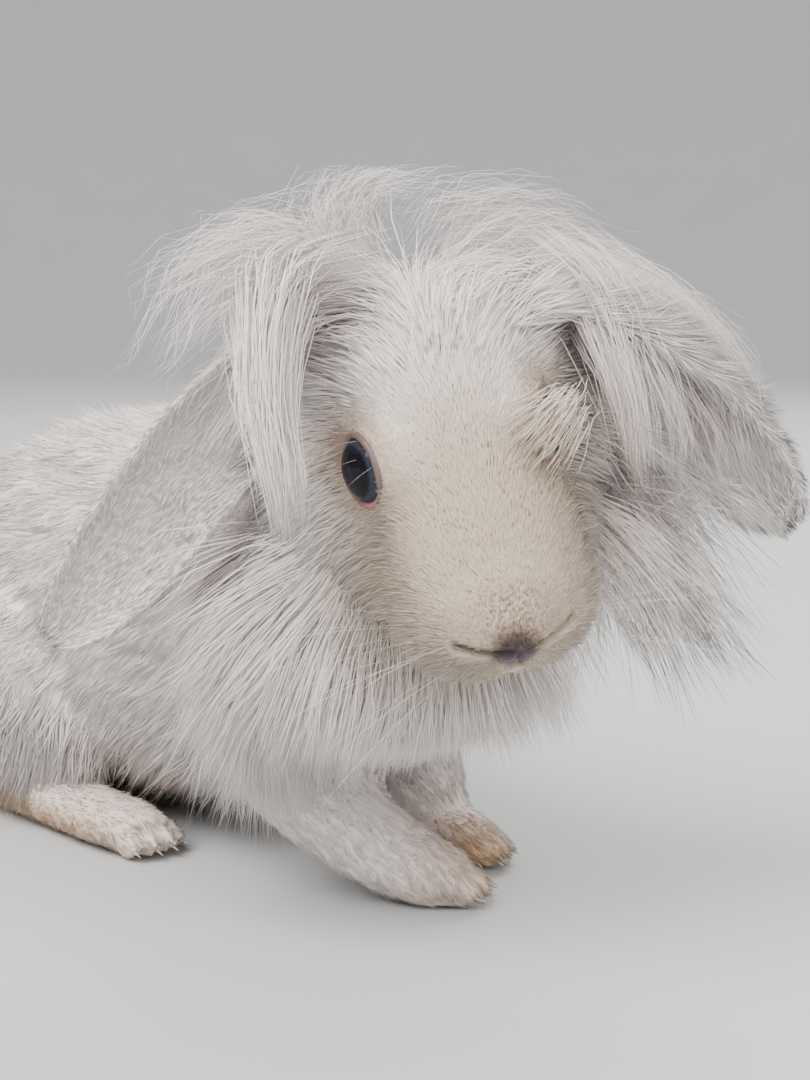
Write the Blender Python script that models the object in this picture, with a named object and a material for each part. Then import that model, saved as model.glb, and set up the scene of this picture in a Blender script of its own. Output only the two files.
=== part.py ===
"""A lionhead rabbit with lop ears, life size: a still model that stands on its own feet.

Rabbit axes: +X runs forward from the rump to the breast, +Y to the rabbit's left, +Z up from
the floor. The head is built on its own axes, in millimetres, and then turned to its place.
"""
import math
import random

import bmesh
import bpy
import numpy as np
from mathutils import Matrix, Vector
from mathutils.bvhtree import BVHTree

MM = 0.001
GAP = 0.35 * MM

BODY_LENGTH = 246 * MM
BODY_WIDTH = 112 * MM
BACK_HEIGHT = 134 * MM
BREAST_AT = 98 * MM

HEAD_SCALE = 1.02
HEAD_LENGTH = 103
HEAD_WIDTH = 69
HEAD_HEIGHT = 64
HEAD_PLACE = Vector((124.5 * MM, -49 * MM, 123.5 * MM))
HEAD_YAW = math.radians(-26)
HEAD_PITCH = math.radians(40)
HEAD_ROLL = math.radians(17)

EYE_RADIUS = 9.0
EYE_PLACE = Vector((3, 17.6, 10))
EYE_FACING = Vector((0.22, 0.93, 0.24))
LID_RADIUS = 1.5

EAR_THICKNESS = 4.5 * MM

RUFF_CENTRE = Vector((88, -33, 88)) * MM
RUFF_CORE_RADII = Vector((37, 41, 44)) * MM
MANE_LOCKS = 118
MANE_LOCK_LENGTH = 54 * MM
MANE_LOCK_WIDTH = 18 * MM
MANE_LOWEST = 26 * MM
LOCK_THICKNESS = 3.0 * MM
ROOT_DEPTH = 4 * MM

LOCK_SEED = 11
SOLE_DEPTH = 1.0 * MM
BOX_CENTRE = Vector((9.9, -25.0, 0)) * MM

# Colour and roughness of each kind of part. None is metallic.
COLOURS = {
    "coat": ((0.84, 0.81, 0.77), 0.75),
    "mane": ((0.88, 0.87, 0.86), 0.7),
    "face": ((0.86, 0.80, 0.70), 0.75),
    "ear": ((0.80, 0.78, 0.80), 0.7),
    "foot": ((0.80, 0.72, 0.58), 0.75),
    "eye": ((0.03, 0.035, 0.05), 0.08),
}

# Share of the body length, sideways place and half width as shares of the body width, top and
# bottom as shares of the back height.
TORSO_STATIONS = (
    (0.00, 0.06, 0.00, 0.45, 0.45),
    (0.03, 0.06, 0.23, 0.63, 0.27),
    (0.10, 0.05, 0.38, 0.74, 0.13),
    (0.22, 0.03, 0.48, 0.87, 0.06),
    (0.38, 0.00, 0.50, 0.96, 0.06),
    (0.54, -0.03, 0.46, 0.98, 0.09),
    (0.70, -0.09, 0.41, 0.95, 0.14),
    (0.82, -0.15, 0.37, 0.90, 0.20),
    (0.92, -0.21, 0.30, 0.83, 0.28),
    (0.98, -0.25, 0.17, 0.72, 0.38),
    (1.00, -0.26, 0.00, 0.56, 0.56),
)

# Share of the head length ahead of the eyes, half width, top and bottom, as shares of the
# head's length, width and height.
HEAD_STATIONS = (
    (-0.50, 0.00, 0.04, 0.04),
    (-0.46, 0.24, 0.26, -0.14),
    (-0.38, 0.38, 0.40, -0.28),
    (-0.26, 0.47, 0.47, -0.40),
    (-0.12, 0.50, 0.46, -0.47),
    (0.02, 0.43, 0.40, -0.49),
    (0.15, 0.385, 0.33, -0.47),
    (0.27, 0.34, 0.24, -0.44),
    (0.37, 0.30, 0.15, -0.40),
    (0.44, 0.23, 0.07, -0.33),
    (0.48, 0.13, 0.01, -0.22),
    (0.495, 0.00, -0.09, -0.09),
)

# Swellings and hollows of the head: where, which way, how high and how wide, on the left side.
# The same again on the right.
HEAD_SHAPING = (
    ((-8, 31, -12), (0, 1, -0.2), 2.5, 12),
    ((38, 15, -12), (0.3, 1, -0.1), 2.6, 6),
    ((43, 6, -15), (1, 0.4, -0.3), 1.6, 4),
    ((6, 20, 22), (0, 0.7, 0.7), 2.6, 7),
    ((4, 29, 9), (0, -1, 0), 5.2, 7.5),
    ((18, 22, 2), (0, -1, 0.3), 1.2, 7),
    ((48, 3.5, -5), (1, 0.3, 0.3), 1.6, 3.5),
    ((30, 0, -27), (0.5, 0, -1), 1.0, 6),
    ((12, 0, 26), (0, 0, -1), 0.8, 8),
    ((48, 0, -12), (-1, 0, 0), 1.0, 2.5),
)

# Near ear and far ear: middle line, the way the cup faces, half width and depth of the cup at
# each point, all on rabbit axes in millimetres.
RIGHT_EAR = (
    ((108, -58, 146), (0.5, -0.8, -0.2), 9, 8),
    ((99, -70, 148), (0.5, -0.85, -0.1), 12, 9),
    ((85, -77, 138), (0.6, -0.8, 0.0), 14, 8),
    ((68, -84, 120), (0.6, -0.8, 0.0), 15, 7),
    ((54, -91, 101), (0.6, -0.8, 0.0), 14.5, 7),
    ((43, -98, 86), (0.6, -0.8, 0.0), 11, 6),
    ((36, -103, 77), (0.6, -0.8, 0.0), 5, 4),
)
LEFT_EAR = (
    ((121, -38, 149), (0.6, -0.2, -0.8), 9, 8),
    ((130, -30, 155), (0.6, -0.2, -0.8), 13, 9),
    ((143, -18, 150), (0.6, -0.2, -0.75), 15, 9),
    ((157, -6, 138), (0.6, -0.2, -0.7), 15, 8),
    ((167, 5, 126), (0.6, -0.3, -0.7), 13, 7),
    ((174, 12, 116), (0.6, -0.3, -0.7), 9.5, 6),
    ((178, 16, 109), (0.6, -0.3, -0.7), 5, 4),
)

# Forward, left, up, half width and half height of the legs and feet, in millimetres.
RIGHT_FORELEG = (
    (36, -42, 62, 0, 0),
    (42, -41, 50, 17, 18),
    (54, -37, 36, 18, 17),
    (66, -32, 25, 16, 15),
    (78, -26, 15, 14, 12),
    (88, -20, 8.5, 13.5, 9.5),
    (96, -14, 6.5, 12, 7.5),
    (101, -10, 5, 0, 0),
)
LEFT_FORELEG = (
    (46, 18, 66, 0, 0),
    (50, 18, 54, 16, 17),
    (53, 17, 38, 15, 15),
    (57, 16, 22, 13, 13),
    (62, 15, 10, 12.5, 10),
    (72, 14, 7, 12.5, 8),
    (80, 14, 6, 11, 7),
    (86, 14, 4, 0, 0),
)
HINDFOOT = (
    (-98, 43, 12, 0, 0),
    (-92, 43, 12, 8, 10),
    (-70, 44, 10, 11, 11),
    (-40, 45, 8, 12, 9.5),
    (-16, 46, 7, 13, 8.5),
    (0, 46, 6.5, 12, 7.5),
    (8, 46, 4, 0, 0),
)
# A lock from its root to its tip: share of its length, of its width and of its thickness.
LOCK_OUTLINE = ((0.0, 0.6, 0.9), (0.28, 1.0, 1.0), (0.6, 0.95, 0.85), (0.85, 0.55, 0.6))

# Rows of locks of the forelock, that part along the middle of the crown, in head millimetres:
# first and last root, on the left side, the way they leave, length, fall, width and how many.
FORELOCK_ROWS = (
    ((-10, 18), (-40, 17), (-0.2, 1.0, 0.05), 46, 0.5, 15, 4),
    ((-10, 9), (-38, 10), (-0.2, 1.0, 0.45), 44, 0.65, 15, 4),
    ((-13, 3), (-34, 4), (-0.3, 0.9, 0.7), 36, 0.8, 14, 3),
    ((-16, 4), (-30, 6), (-0.1, 0.5, 1.0), 54, 0.5, 5, 2),
)
NAPE_ROW = ((-43, 14), (-43, -14), (-0.7, 0.0, -0.2), 42, 0.35, 16, 4)
# Rows of the cheek ruffs, from the ear down to the jaw: the same, but roots by height.
LEFT_RUFF_ROWS = (
    ((-30, -2), (-14, -26), (0.1, 1.0, 0.1), 58, 0.2, 17, 4),
    ((-14, -8), (2, -24), (0.3, 1.0, -0.1), 52, 0.25, 16, 3),
)
RIGHT_RUFF_ROWS = (
    ((-28, -8), (-14, -26), (-0.2, 0.6, -0.6), 44, 0.35, 17, 4),
    ((-14, -10), (2, -24), (0.0, 0.6, -0.6), 42, 0.4, 16, 3),
)
# Locks of the far ear's upper side: first and last root as shares of the ear's length.
EAR_LOCKS = (0.3, 0.82, 4)
BEARD_ROW = ((12, 10), (12, -10), (-0.35, 0.0, -0.9), 24, 0.12, 14, 4)
THIGH_CENTRE = (-72, 36, 50)
THIGH_RADII = (57, 27, 45)


def flowing(knots, values, at):
    """Values read at these places from a smooth curve through the knots that never overshoots."""
    knots = np.asarray(knots, float)
    values = np.asarray(values, float)
    step = np.diff(knots)
    slope = np.diff(values) / step
    tangent = np.zeros(len(knots))
    same_way = slope[:-1] * slope[1:] > 0
    before = (step[1:] * 2 + step[:-1])[same_way]
    after = (step[1:] + step[:-1] * 2)[same_way]
    mixed = np.zeros(len(slope) - 1)
    rise, fall = slope[:-1][same_way], slope[1:][same_way]
    mixed[same_way] = (before + after) / (before / rise + after / fall)
    tangent[1:-1] = mixed
    tangent[0], tangent[-1] = slope[0], slope[-1]
    at = np.clip(at, knots[0], knots[-1])
    piece = np.clip(np.searchsorted(knots, at, side="right") - 1, 0, len(step) - 1)
    width = step[piece]
    t = (at - knots[piece]) / width
    return (
        (2 * t**3 - 3 * t**2 + 1) * values[piece]
        + (t**3 - 2 * t**2 + t) * width * tangent[piece]
        + (3 * t**2 - 2 * t**3) * values[piece + 1]
        + (t**3 - t**2) * width * tangent[piece + 1]
    )


def flowing_points(knots, points, at):
    """The same for points in space."""
    return [Vector(p) for p in zip(*(flowing(knots, [q[i] for q in points], at) for i in range(3)))]


def distances_along(points):
    run = [0.0]
    for a, b in zip(points, points[1:]):
        run.append(run[-1] + (Vector(b) - Vector(a)).length)
    return run


def signed_power(value, power):
    return math.copysign(abs(value) ** power, value)


def closed_mesh(name, points, faces):
    mesh = bpy.data.meshes.new(name)
    mesh.from_pydata(points, [], faces)
    shape = bmesh.new()
    shape.from_mesh(mesh)
    bmesh.ops.recalc_face_normals(shape, faces=shape.faces)
    shape.to_mesh(mesh)
    shape.free()
    return mesh


def mesh_of_rings(name, rings):
    """A closed mesh through rings of points. A ring of one point closes its end."""
    points = [p for ring in rings for p in ring]
    faces = []
    start = 0
    for ring, after in zip(rings, rings[1:]):
        low, high = start, start + len(ring)
        for k in range(max(len(ring), len(after))):
            if len(ring) == 1:
                faces.append((low, high + (k + 1) % len(after), high + k))
            elif len(after) == 1:
                faces.append((high, low + k, low + (k + 1) % len(ring)))
            else:
                n = (k + 1) % len(ring)
                faces.append((low + k, low + n, high + n, high + k))
        start = high
    for ring, first in ((rings[0], 0), (rings[-1], start)):
        if len(ring) > 1:
            faces.append(tuple(range(first, first + len(ring))))
    return closed_mesh(name, points, faces)


def shown(name, mesh):
    """An object of the mesh. Its faces become triangles, so that every face a Boolean cuts is flat."""
    shape = bmesh.new()
    shape.from_mesh(mesh)
    bmesh.ops.triangulate(shape, faces=shape.faces)
    shape.to_mesh(mesh)
    shape.free()
    part = bpy.data.objects.new(name, mesh)
    bpy.context.scene.collection.objects.link(part)
    return part


def loft(name, stations, rings, sides, squareness=2.2, ends=0.6, upright=False):
    """A closed form through stations of (centre, half width, rise, drop).

    Radii are read as their squares, so that a form that starts at nothing has a round end. The
    rings stand square to the path, or upright where the path bends too sharply for that.
    """
    centres = [Vector(station[0]) for station in stations]
    run = distances_along(centres)
    share = np.linspace(0, 1, rings)
    at = run[-1] * ((1 - ends) * share + ends * (1 - np.cos(math.pi * share)) / 2)
    path = flowing_points(run, centres, at)
    half, rise, drop = (
        np.sqrt(np.maximum(flowing(run, [s[i] ** 2 for s in stations], at), 0)) for i in (1, 2, 3)
    )
    found = []
    for i in range(rings):
        if i in (0, rings - 1):
            found.append([path[i]])
            continue
        along = Vector((1, 0, 0)) if upright else (path[i + 1] - path[i - 1]).normalized()
        up = along.cross(Vector((0, 1, 0))).normalized()
        side = up.cross(along)
        ring = []
        for k in range(sides):
            turn = 2 * math.pi * k / sides
            across = signed_power(math.cos(turn), 2 / squareness) * half[i]
            height = signed_power(math.sin(turn), 2 / squareness)
            ring.append(path[i] + side * across + up * height * (rise[i] if height > 0 else drop[i]))
        found.append(ring)
    return shown(name, mesh_of_rings(name, found))


def ball(name, centre, radii, segments=24, rows=14):
    """An ellipsoid with its radii along X, Y and Z."""
    mesh = bpy.data.meshes.new(name)
    shape = bmesh.new()
    bmesh.ops.create_uvsphere(shape, u_segments=segments, v_segments=rows, radius=1)
    bmesh.ops.scale(shape, vec=Vector(radii), verts=shape.verts)
    bmesh.ops.translate(shape, vec=Vector(centre), verts=shape.verts)
    shape.to_mesh(mesh)
    shape.free()
    return shown(name, mesh)


def cord_rings(points, radii, sides, closed=False):
    count = len(points)
    found = []
    for i, point in enumerate(points):
        after = points[(i + 1) % count] if closed else points[min(i + 1, count - 1)]
        before = points[i - 1] if closed or i else point
        along = (after - before).normalized()
        hint = Vector((0, 0, 1)) if abs(along.z) < 0.8 else Vector((1, 0, 0))
        side = along.cross(hint).normalized()
        up = side.cross(along)
        turns = [2 * math.pi * k / sides for k in range(sides)]
        found.append([point + (side * math.cos(t) + up * math.sin(t)) * radii[i] for t in turns])
    return found


def cord(name, points, radii, sides=6):
    """A round cord along points, with a radius at each."""
    return shown(name, mesh_of_rings(name, cord_rings([Vector(p) for p in points], radii, sides)))


def ring_cord(name, points, radius, out, sides=6):
    """A round cord along a closed loop whose points lie around the way out."""
    count = len(points)
    corners, faces = [], []
    for i, point in enumerate(points):
        along = (points[(i + 1) % count] - points[i - 1]).normalized()
        side = along.cross(out).normalized()
        up = side.cross(along)
        for k in range(sides):
            turn = 2 * math.pi * k / sides
            corners.append(point + (side * math.cos(turn) + up * math.sin(turn)) * radius)
            low, high, n = i * sides, (i + 1) % count * sides, (k + 1) % sides
            faces.append((low + k, low + n, high + n, high + k))
    return shown(name, closed_mesh(name, corners, faces))


def placed(part, matrix):
    part.data.transform(matrix)
    return part


def settle(part):
    """Makes what the modifiers give the part's own mesh, and drops them."""
    bpy.context.view_layer.update()
    graph = bpy.context.evaluated_depsgraph_get()
    made = bpy.data.meshes.new_from_object(part.evaluated_get(graph))
    part.modifiers.clear()
    part.data = made
    return part


def largest_surface(part):
    """Keeps the part's largest closed surface, and drops sealed hollows and loose scraps."""
    shape = bmesh.new()
    shape.from_mesh(part.data)
    unseen = set(shape.faces)
    shells = []
    while unseen:
        shell = {unseen.pop()}
        rim = list(shell)
        while rim:
            near = {face for f in rim for edge in f.edges for face in edge.link_faces}
            rim = [face for face in near if face in unseen]
            unseen.difference_update(rim)
            shell.update(rim)
        shells.append(shell)
    shells.sort(key=len)
    loose = [face for shell in shells[:-1] for face in shell]
    bmesh.ops.delete(shape, geom=loose, context="FACES")
    shape.to_mesh(part.data)
    shape.free()
    return part


def boolean(part, others, operation, solver="EXACT"):
    """Booleans of the part with each of the others in turn, applied. The others are removed."""
    for other in others:
        step = part.modifiers.new("boolean", "BOOLEAN")
        step.operation = operation
        step.object = other
        step.solver = solver
        largest_surface(settle(part))
        bpy.data.objects.remove(other)
    return part


def grown(part, by=GAP):
    """A copy of the part, larger all round by the gap that touching nodes keep."""
    copy = shown(part.name + "_room", part.data.copy())
    shape = bmesh.new()
    shape.from_mesh(copy.data)
    shape.normal_update()
    out = [vertex.normal * by * min(vertex.calc_shell_factor(), 1.6) for vertex in shape.verts]
    for vertex, move in zip(shape.verts, out):
        vertex.co += move
    shape.to_mesh(copy.data)
    shape.free()
    return copy


def boxes_meet(one, other):
    """Whether the boxes round two parts come within two millimetres of each other."""
    sides = [[[v.co[i] for v in part.data.vertices] for i in range(3)] for part in (one, other)]
    return all(min(a) < max(b) + 2 * MM and min(b) < max(a) + 2 * MM for a, b in zip(*sides))


def cut_clear(part, *neighbours, solver="EXACT"):
    """Cuts the part clear of its neighbours, with the gap between them."""
    near = [grown(n) for n in neighbours if boxes_meet(part, n)]
    return boolean(part, near, "DIFFERENCE", solver)


def spares(parts):
    """Copies of the parts as they are, for cutting others clear of them later."""
    return [shown(part.name + "_spare", part.data.copy()) for part in parts]


def joined(part, *others, solver="EXACT"):
    return boolean(part, list(others), "UNION", solver)


def finish(part, kind):
    """Gives the part a material of its own, of its kind's colour, and puts it in its place."""
    colour, roughness = COLOURS[kind]
    material = bpy.data.materials.new(part.name + "_" + kind)
    material.use_nodes = True
    shader = material.node_tree.nodes["Principled BSDF"]
    shader.inputs["Base Color"].default_value = (*colour, 1)
    shader.inputs["Roughness"].default_value = roughness
    shader.inputs["Metallic"].default_value = 0
    part.data.materials.clear()
    part.data.materials.append(material)
    part.data.shade_smooth()
    part.location = -BOX_CENTRE


def head_matrix():
    """Head axes in millimetres to rabbit axes: turned, nosed down, then tipped on its side."""
    turn = Matrix.Rotation(HEAD_YAW, 4, "Z")
    nod = Matrix.Rotation(HEAD_PITCH, 4, "Y")
    tip = Matrix.Rotation(HEAD_ROLL, 4, "X")
    size = Matrix.Scale(HEAD_SCALE * MM, 4)
    return Matrix.Translation(HEAD_PLACE) @ turn @ nod @ tip @ size


def mirrored(point, side):
    """A point of the left side, on the left for side 1 and on the right for side -1."""
    return Vector((point[0], point[1] * side, point[2]))


def torso():
    stations = []
    for along, aside, half, top, bottom in TORSO_STATIONS:
        x = BREAST_AT - BODY_LENGTH * (1 - along)
        top_z, low_z = top * BACK_HEIGHT, bottom * BACK_HEIGHT
        middle = low_z + 0.47 * (top_z - low_z)
        centre = (x, aside * BODY_WIDTH, middle)
        stations.append((centre, half * BODY_WIDTH, top_z - middle, middle - low_z))
    return loft("torso", stations, 16, 20, squareness=2.3)


def on_soles(part):
    """Flattens the lowest millimetre of a foot to one level at the floor."""
    for vertex in part.data.vertices:
        if vertex.co.z < SOLE_DEPTH:
            vertex.co.z = 0
    return part


def limb(name, stations, side=1, rings=11, sides=12):
    """A leg or foot through its stations. side is 1 for the left as written, -1 for its mirror."""
    rows = [(mirrored(s, side) * MM, s[3] * MM, s[4] * MM, s[4] * MM) for s in stations]
    return loft(name, rows, rings, sides, squareness=2.3)


def toes(leg, stations, side=1, count=4):
    """Toes in a row along the front of the foot, each with its claw, joined to the foot."""
    near, last = mirrored(stations[-3], side), mirrored(stations[-1], side)
    along = Vector((last.x - near.x, last.y - near.y, 0)).normalized()
    across = Vector((-along.y, along.x, 0))
    width = stations[-2][3]
    added = []
    for k in range(count):
        place = (k - (count - 1) / 2) / (count - 1) * 2
        back = 2.5 + 3.5 * abs(place) ** 1.5
        centre = Vector((last.x, last.y, 5.0)) - along * back + across * place * width * 0.66
        spread = math.atan2(along.y, along.x) + place * 0.12
        turned = Matrix.Translation(centre) @ Matrix.Rotation(spread, 4, "Z")
        toe = ball("toe", (0, 0, 0), (7.5, 3.6, 5.0), 6, 5)
        added.append(placed(toe, Matrix.Scale(MM, 4) @ turned))
        line = [turned @ Vector(p) * MM for p in ((3.5, 0, 0.4), (7.2, 0, -0.4), (9.5, 0, -2.0))]
        added.append(cord("claw", line, [1.4 * MM, 1.1 * MM, 0.35 * MM], 4))
    return on_soles(joined(leg, *added))


def thigh(name, side):
    """The thigh, folded against the flank."""
    tilt = Matrix.Rotation(math.radians(18), 4, "Y")
    place = Matrix.Translation(mirrored(THIGH_CENTRE, side) * MM)
    return placed(ball(name, (0, 0, 0), Vector(THIGH_RADII) * MM, 16, 10), place @ tilt)


def head_core():
    """The skull with its flesh, on head axes."""
    stations = []
    for along, half, top, bottom in HEAD_STATIONS:
        top_z, low_z = top * HEAD_HEIGHT, bottom * HEAD_HEIGHT
        middle = (top_z + low_z) / 2
        centre = (along * HEAD_LENGTH, 0, middle)
        stations.append((centre, half * HEAD_WIDTH, top_z - middle, middle - low_z))
    skull = loft("head", stations, 22, 28, squareness=2.25, upright=True)
    for vertex in skull.data.vertices:
        moved = Vector()
        for place, way, height, spread in HEAD_SHAPING:
            for side in (1, -1):
                offset = vertex.co - mirrored(place, side)
                share = math.exp(-offset.length_squared / (2 * spread * spread))
                moved += mirrored(way, side).normalized() * height * share
        vertex.co += moved
    return skull


def surface_of(part):
    part.data.calc_loop_triangles()
    corners = [v.co.copy() for v in part.data.vertices]
    return BVHTree.FromPolygons(corners, [tuple(t.vertices) for t in part.data.loop_triangles])


def on_surface(tree, points, lift):
    """The points carried to the nearest place on the surface, lifted off it or sunk in it."""
    found = []
    for point in points:
        place, normal, _, _ = tree.find_nearest(Vector(point))
        found.append(place + normal * lift)
    return found


def lid_ring(side):
    """The lids as one almond ring on the eyeball, its corners towards the nose and the ear."""
    centre = mirrored(EYE_PLACE, side)
    out = mirrored(EYE_FACING, side).normalized()
    forward = Vector((1, 0, -0.28))
    forward = (forward - out * forward.dot(out)).normalized()
    up = forward.cross(out) * -side
    points = []
    for k in range(18):
        turn = 2 * math.pi * k / 18
        long_way = math.radians(62) * signed_power(math.cos(turn), 1.15)
        high_way = math.radians(46) * signed_power(math.sin(turn), 0.95)
        reach = math.hypot(long_way, high_way)
        flat = (forward * long_way + up * high_way) / reach
        points.append(centre + (out * math.cos(reach) + flat * math.sin(reach)) * (EYE_RADIUS + 0.5))
    return ring_cord("lids", points, LID_RADIUS, out)


def face_cuts(tree):
    """Cutters for the nostrils, the cleft of the lip and the line of the mouth, on head axes."""
    cuts = []
    for side in (1, -1):
        slit = ((51, 1.6, -7), (50.5, 4.4, -6), (49, 8, -5.6), (47, 11, -5.4))
        line = on_surface(tree, [mirrored(p, side) for p in slit], -0.1)
        cuts.append(cord("nostril", line, (0.7, 1.3, 1.1, 0.5)))
    half_mouth = ((46, 0, -15.5), (43, 6, -18), (37, 11, -20), (30, 15, -18))
    lips = [mirrored(p, -1) for p in half_mouth[:0:-1]] + [Vector(p) for p in half_mouth]
    run = distances_along(lips)
    line = on_surface(tree, flowing_points(run, lips, np.linspace(0, run[-1], 15)), 0)
    cuts.append(cord("mouth", line, [0.4] + [0.9] * 13 + [0.4]))
    cleft = on_surface(tree, ((48, 0, -8.5), (47.5, 0, -11), (46.5, 0, -13.2), (45.9, 0, -15.2)), 0)
    cuts.append(cord("cleft", cleft, (0.6, 0.8, 0.9, 0.8)))
    return cuts


def ear(name, stations, rings=12, arc_steps=7):
    """A lop ear: a leaf of gristle and fur rolled into a cup, through its stations."""
    middle = [Vector(s[0]) * MM for s in stations]
    run = distances_along(middle)
    share = np.linspace(0, 1, rings)
    at = run[-1] * (0.75 * share + 0.25 * np.sin(share * math.pi / 2))
    points = flowing_points(run, middle, at)
    mouths = flowing_points(run, [s[1] for s in stations], at)
    half = flowing(run, [s[2] * MM for s in stations], at)
    deep = flowing(run, [s[3] * MM for s in stations], at)
    roll = math.radians(112)
    found = []
    for i in range(rings):
        along = (points[min(i + 1, rings - 1)] - points[max(i - 1, 0)]).normalized()
        mouth = (mouths[i] - along * mouths[i].dot(along)).normalized()
        across = along.cross(mouth)
        wall = min(EAR_THICKNESS, 0.6 * deep[i])
        ring = []
        for inset, steps in ((0.0, range(arc_steps + 1)), (wall, range(arc_steps, -1, -1))):
            for k in steps:
                turn = -roll + 2 * roll * k / arc_steps
                less = inset * (1 - 0.35 * abs(k / arc_steps * 2 - 1) ** 4)
                wide = across * math.sin(turn) * (half[i] - less)
                ring.append(points[i] + wide - mouth * math.cos(turn) * (deep[i] - less))
        found.append(ring)
    found[0] = [sum(found[0], Vector()) / len(found[0])]
    found[-1] = [sum(found[-1], Vector()) / len(found[-1]) + (points[-1] - points[-2]) * 0.4]
    return shown(name, mesh_of_rings(name, found))


def kept_out(point, trees, clearance, reach=14 * MM):
    """The point, pushed out of any surface that it is inside of or nearer to than the clearance."""
    for tree in trees:
        place, normal, _, distance = tree.find_nearest(point)
        if distance < reach and (point - place).dot(normal) < clearance:
            point = place + normal * clearance
    return point


def kept_off_ears(point, clearance):
    """The point, pushed off the ears, that are taken as round about their middle lines."""
    for stations in (RIGHT_EAR, LEFT_EAR):
        for low, high in zip(stations, stations[1:]):
            start, end = Vector(low[0]) * MM, Vector(high[0]) * MM
            share = min(max((point - start).dot(end - start) / (end - start).length_squared, 0), 1)
            away = point - start.lerp(end, share)
            room = (low[2] + (high[2] - low[2]) * share) * MM + clearance
            if away.length < room:
                point = point + away.normalized() * (room - away.length)
    return point


def combed(start, normal, way, length, fall, trees, clearance, steps=7):
    """A lock's line: it leaves its sunk root along the way given, and more and more hangs down."""
    points = [start - normal * ROOT_DEPTH]
    point, heading = start, way.normalized()
    for step in range(steps):
        heading = (heading + Vector((0, 0, -fall * (step + 1) / steps))).normalized()
        near = clearance * min(1, (step + 1) / 2)
        aim = kept_off_ears(kept_out(point + heading * length / steps, trees, near), near)
        move = aim - point
        point = point + move * min(1, 1.6 * length / steps / max(move.length, 1e-9))
        if (point - points[-1]).length > length / steps / 3:
            heading = (point - points[-1]).normalized()
        points.append(point)
    return points


def lock(points, outward_from, width, thickness=LOCK_THICKNESS):
    """A flat lock along its line, its broad side turned away from a place inside the coat."""
    run = distances_along(points)
    shares = [run[-1] * row[0] for row in LOCK_OUTLINE]
    middle = flowing_points(run, points, shares)
    ahead = flowing_points(run, points, [s + run[-1] * 0.1 for s in shares])
    corners = []
    for (share, wide, thick), place, after in zip(LOCK_OUTLINE, middle, ahead):
        along = (after - place).normalized()
        across = along.cross(place - outward_from).normalized() * width * wide / 2
        raised = across.cross(along).normalized() * thickness * thick / 2
        corners += [place + across, place + raised, place - across, place - raised]
    corners.append(Vector(points[-1]))
    tip = len(corners) - 1
    faces = [(0, 1, 2, 3), (tip - 4, tip, tip - 3), (tip - 3, tip, tip - 2), (tip - 2, tip, tip - 1),
             (tip - 1, tip, tip - 4)]
    for low in range(0, tip - 4, 4):
        for k in range(4):
            n = (k + 1) % 4
            faces.append((low + k, low + 4 + k, low + 4 + n, low + n))
    mesh = bpy.data.meshes.new("lock")
    mesh.from_pydata(corners, [], faces)
    return shown("lock", mesh)


def mane_locks(trees, rng):
    """Locks all over the ruff, lying back and down, with the longest on the bib."""
    found = []
    golden = math.pi * (3 - math.sqrt(5))
    for k in range(MANE_LOCKS):
        level = 1 - 2 * (k + 0.5) / MANE_LOCKS
        round_it = math.sqrt(1 - level * level)
        unit = Vector((round_it * math.cos(golden * k), round_it * math.sin(golden * k), level))
        start = RUFF_CENTRE + unit * RUFF_CORE_RADII
        normal = Vector([u / r for u, r in zip(unit, RUFF_CORE_RADII)]).normalized()
        hidden = kept_off_ears(start, 1 * MM) != start or kept_out(start, trees, 1 * MM) != start
        if hidden or start.z < MANE_LOWEST + 30 * MM:
            continue
        top = max(normal.z, 0)
        flow = Vector((-0.35 - 1.1 * top, 0.35 * normal.y, -1 + 0.9 * top))
        flow += Vector([rng.uniform(-0.2, 0.2) for _ in range(3)])
        flow = (flow - normal * flow.dot(normal)).normalized()
        length = MANE_LOCK_LENGTH * rng.uniform(0.8, 1.15) * (1 - 0.25 * top)
        length = min(length, start.z - MANE_LOWEST)
        way = flow + normal * rng.uniform(0.25, 0.55)
        line = combed(start, normal, way, length, 0.25, trees, 2.5 * MM)
        found.append(lock(line, RUFF_CENTRE, MANE_LOCK_WIDTH * rng.uniform(0.85, 1.15)))
    return found


def head_locks(tree, trees, rng):
    """The forelock, which parts along the crown, the nape, the cheek ruffs and the beard."""
    to_rabbit = head_matrix()
    turned = to_rabbit.to_3x3().normalized()
    inside = to_rabbit @ Vector((-12, 0, -4))
    rows = [(row, side, "over") for row in FORELOCK_ROWS for side in (1, -1)]
    rows += [(NAPE_ROW, 1, "over"), (BEARD_ROW, 1, "under")]
    rows += [(row, 1, "beside") for row in LEFT_RUFF_ROWS] + [(row, -1, "beside") for row in RIGHT_RUFF_ROWS]
    found = []
    for (first, last, way, length, fall, width, count), side, where in rows:
        for k in range(count):
            share = k / (count - 1) + rng.uniform(-0.08, 0.08)
            a, b = (first[i] + (last[i] - first[i]) * share for i in (0, 1))
            place = {"over": (a, b * side, 40), "under": (a, b * side, -40), "beside": (a, 44 * side, b)}
            start, normal, _, _ = tree.find_nearest(to_rabbit @ Vector(place[where]))
            heading = mirrored(way, side) + Vector([rng.uniform(-0.12, 0.12) for _ in range(3)])
            heading = turned @ (heading.normalized() + Vector((0, 0.02 * b if where != "beside" else 0, 0)))
            size = length * MM * rng.uniform(0.85, 1.15)
            line = combed(start, normal, heading, size, fall, trees, 2.0 * MM)
            found.append(lock(line, inside, width * MM * rng.uniform(0.85, 1.15)))
    return found


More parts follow.
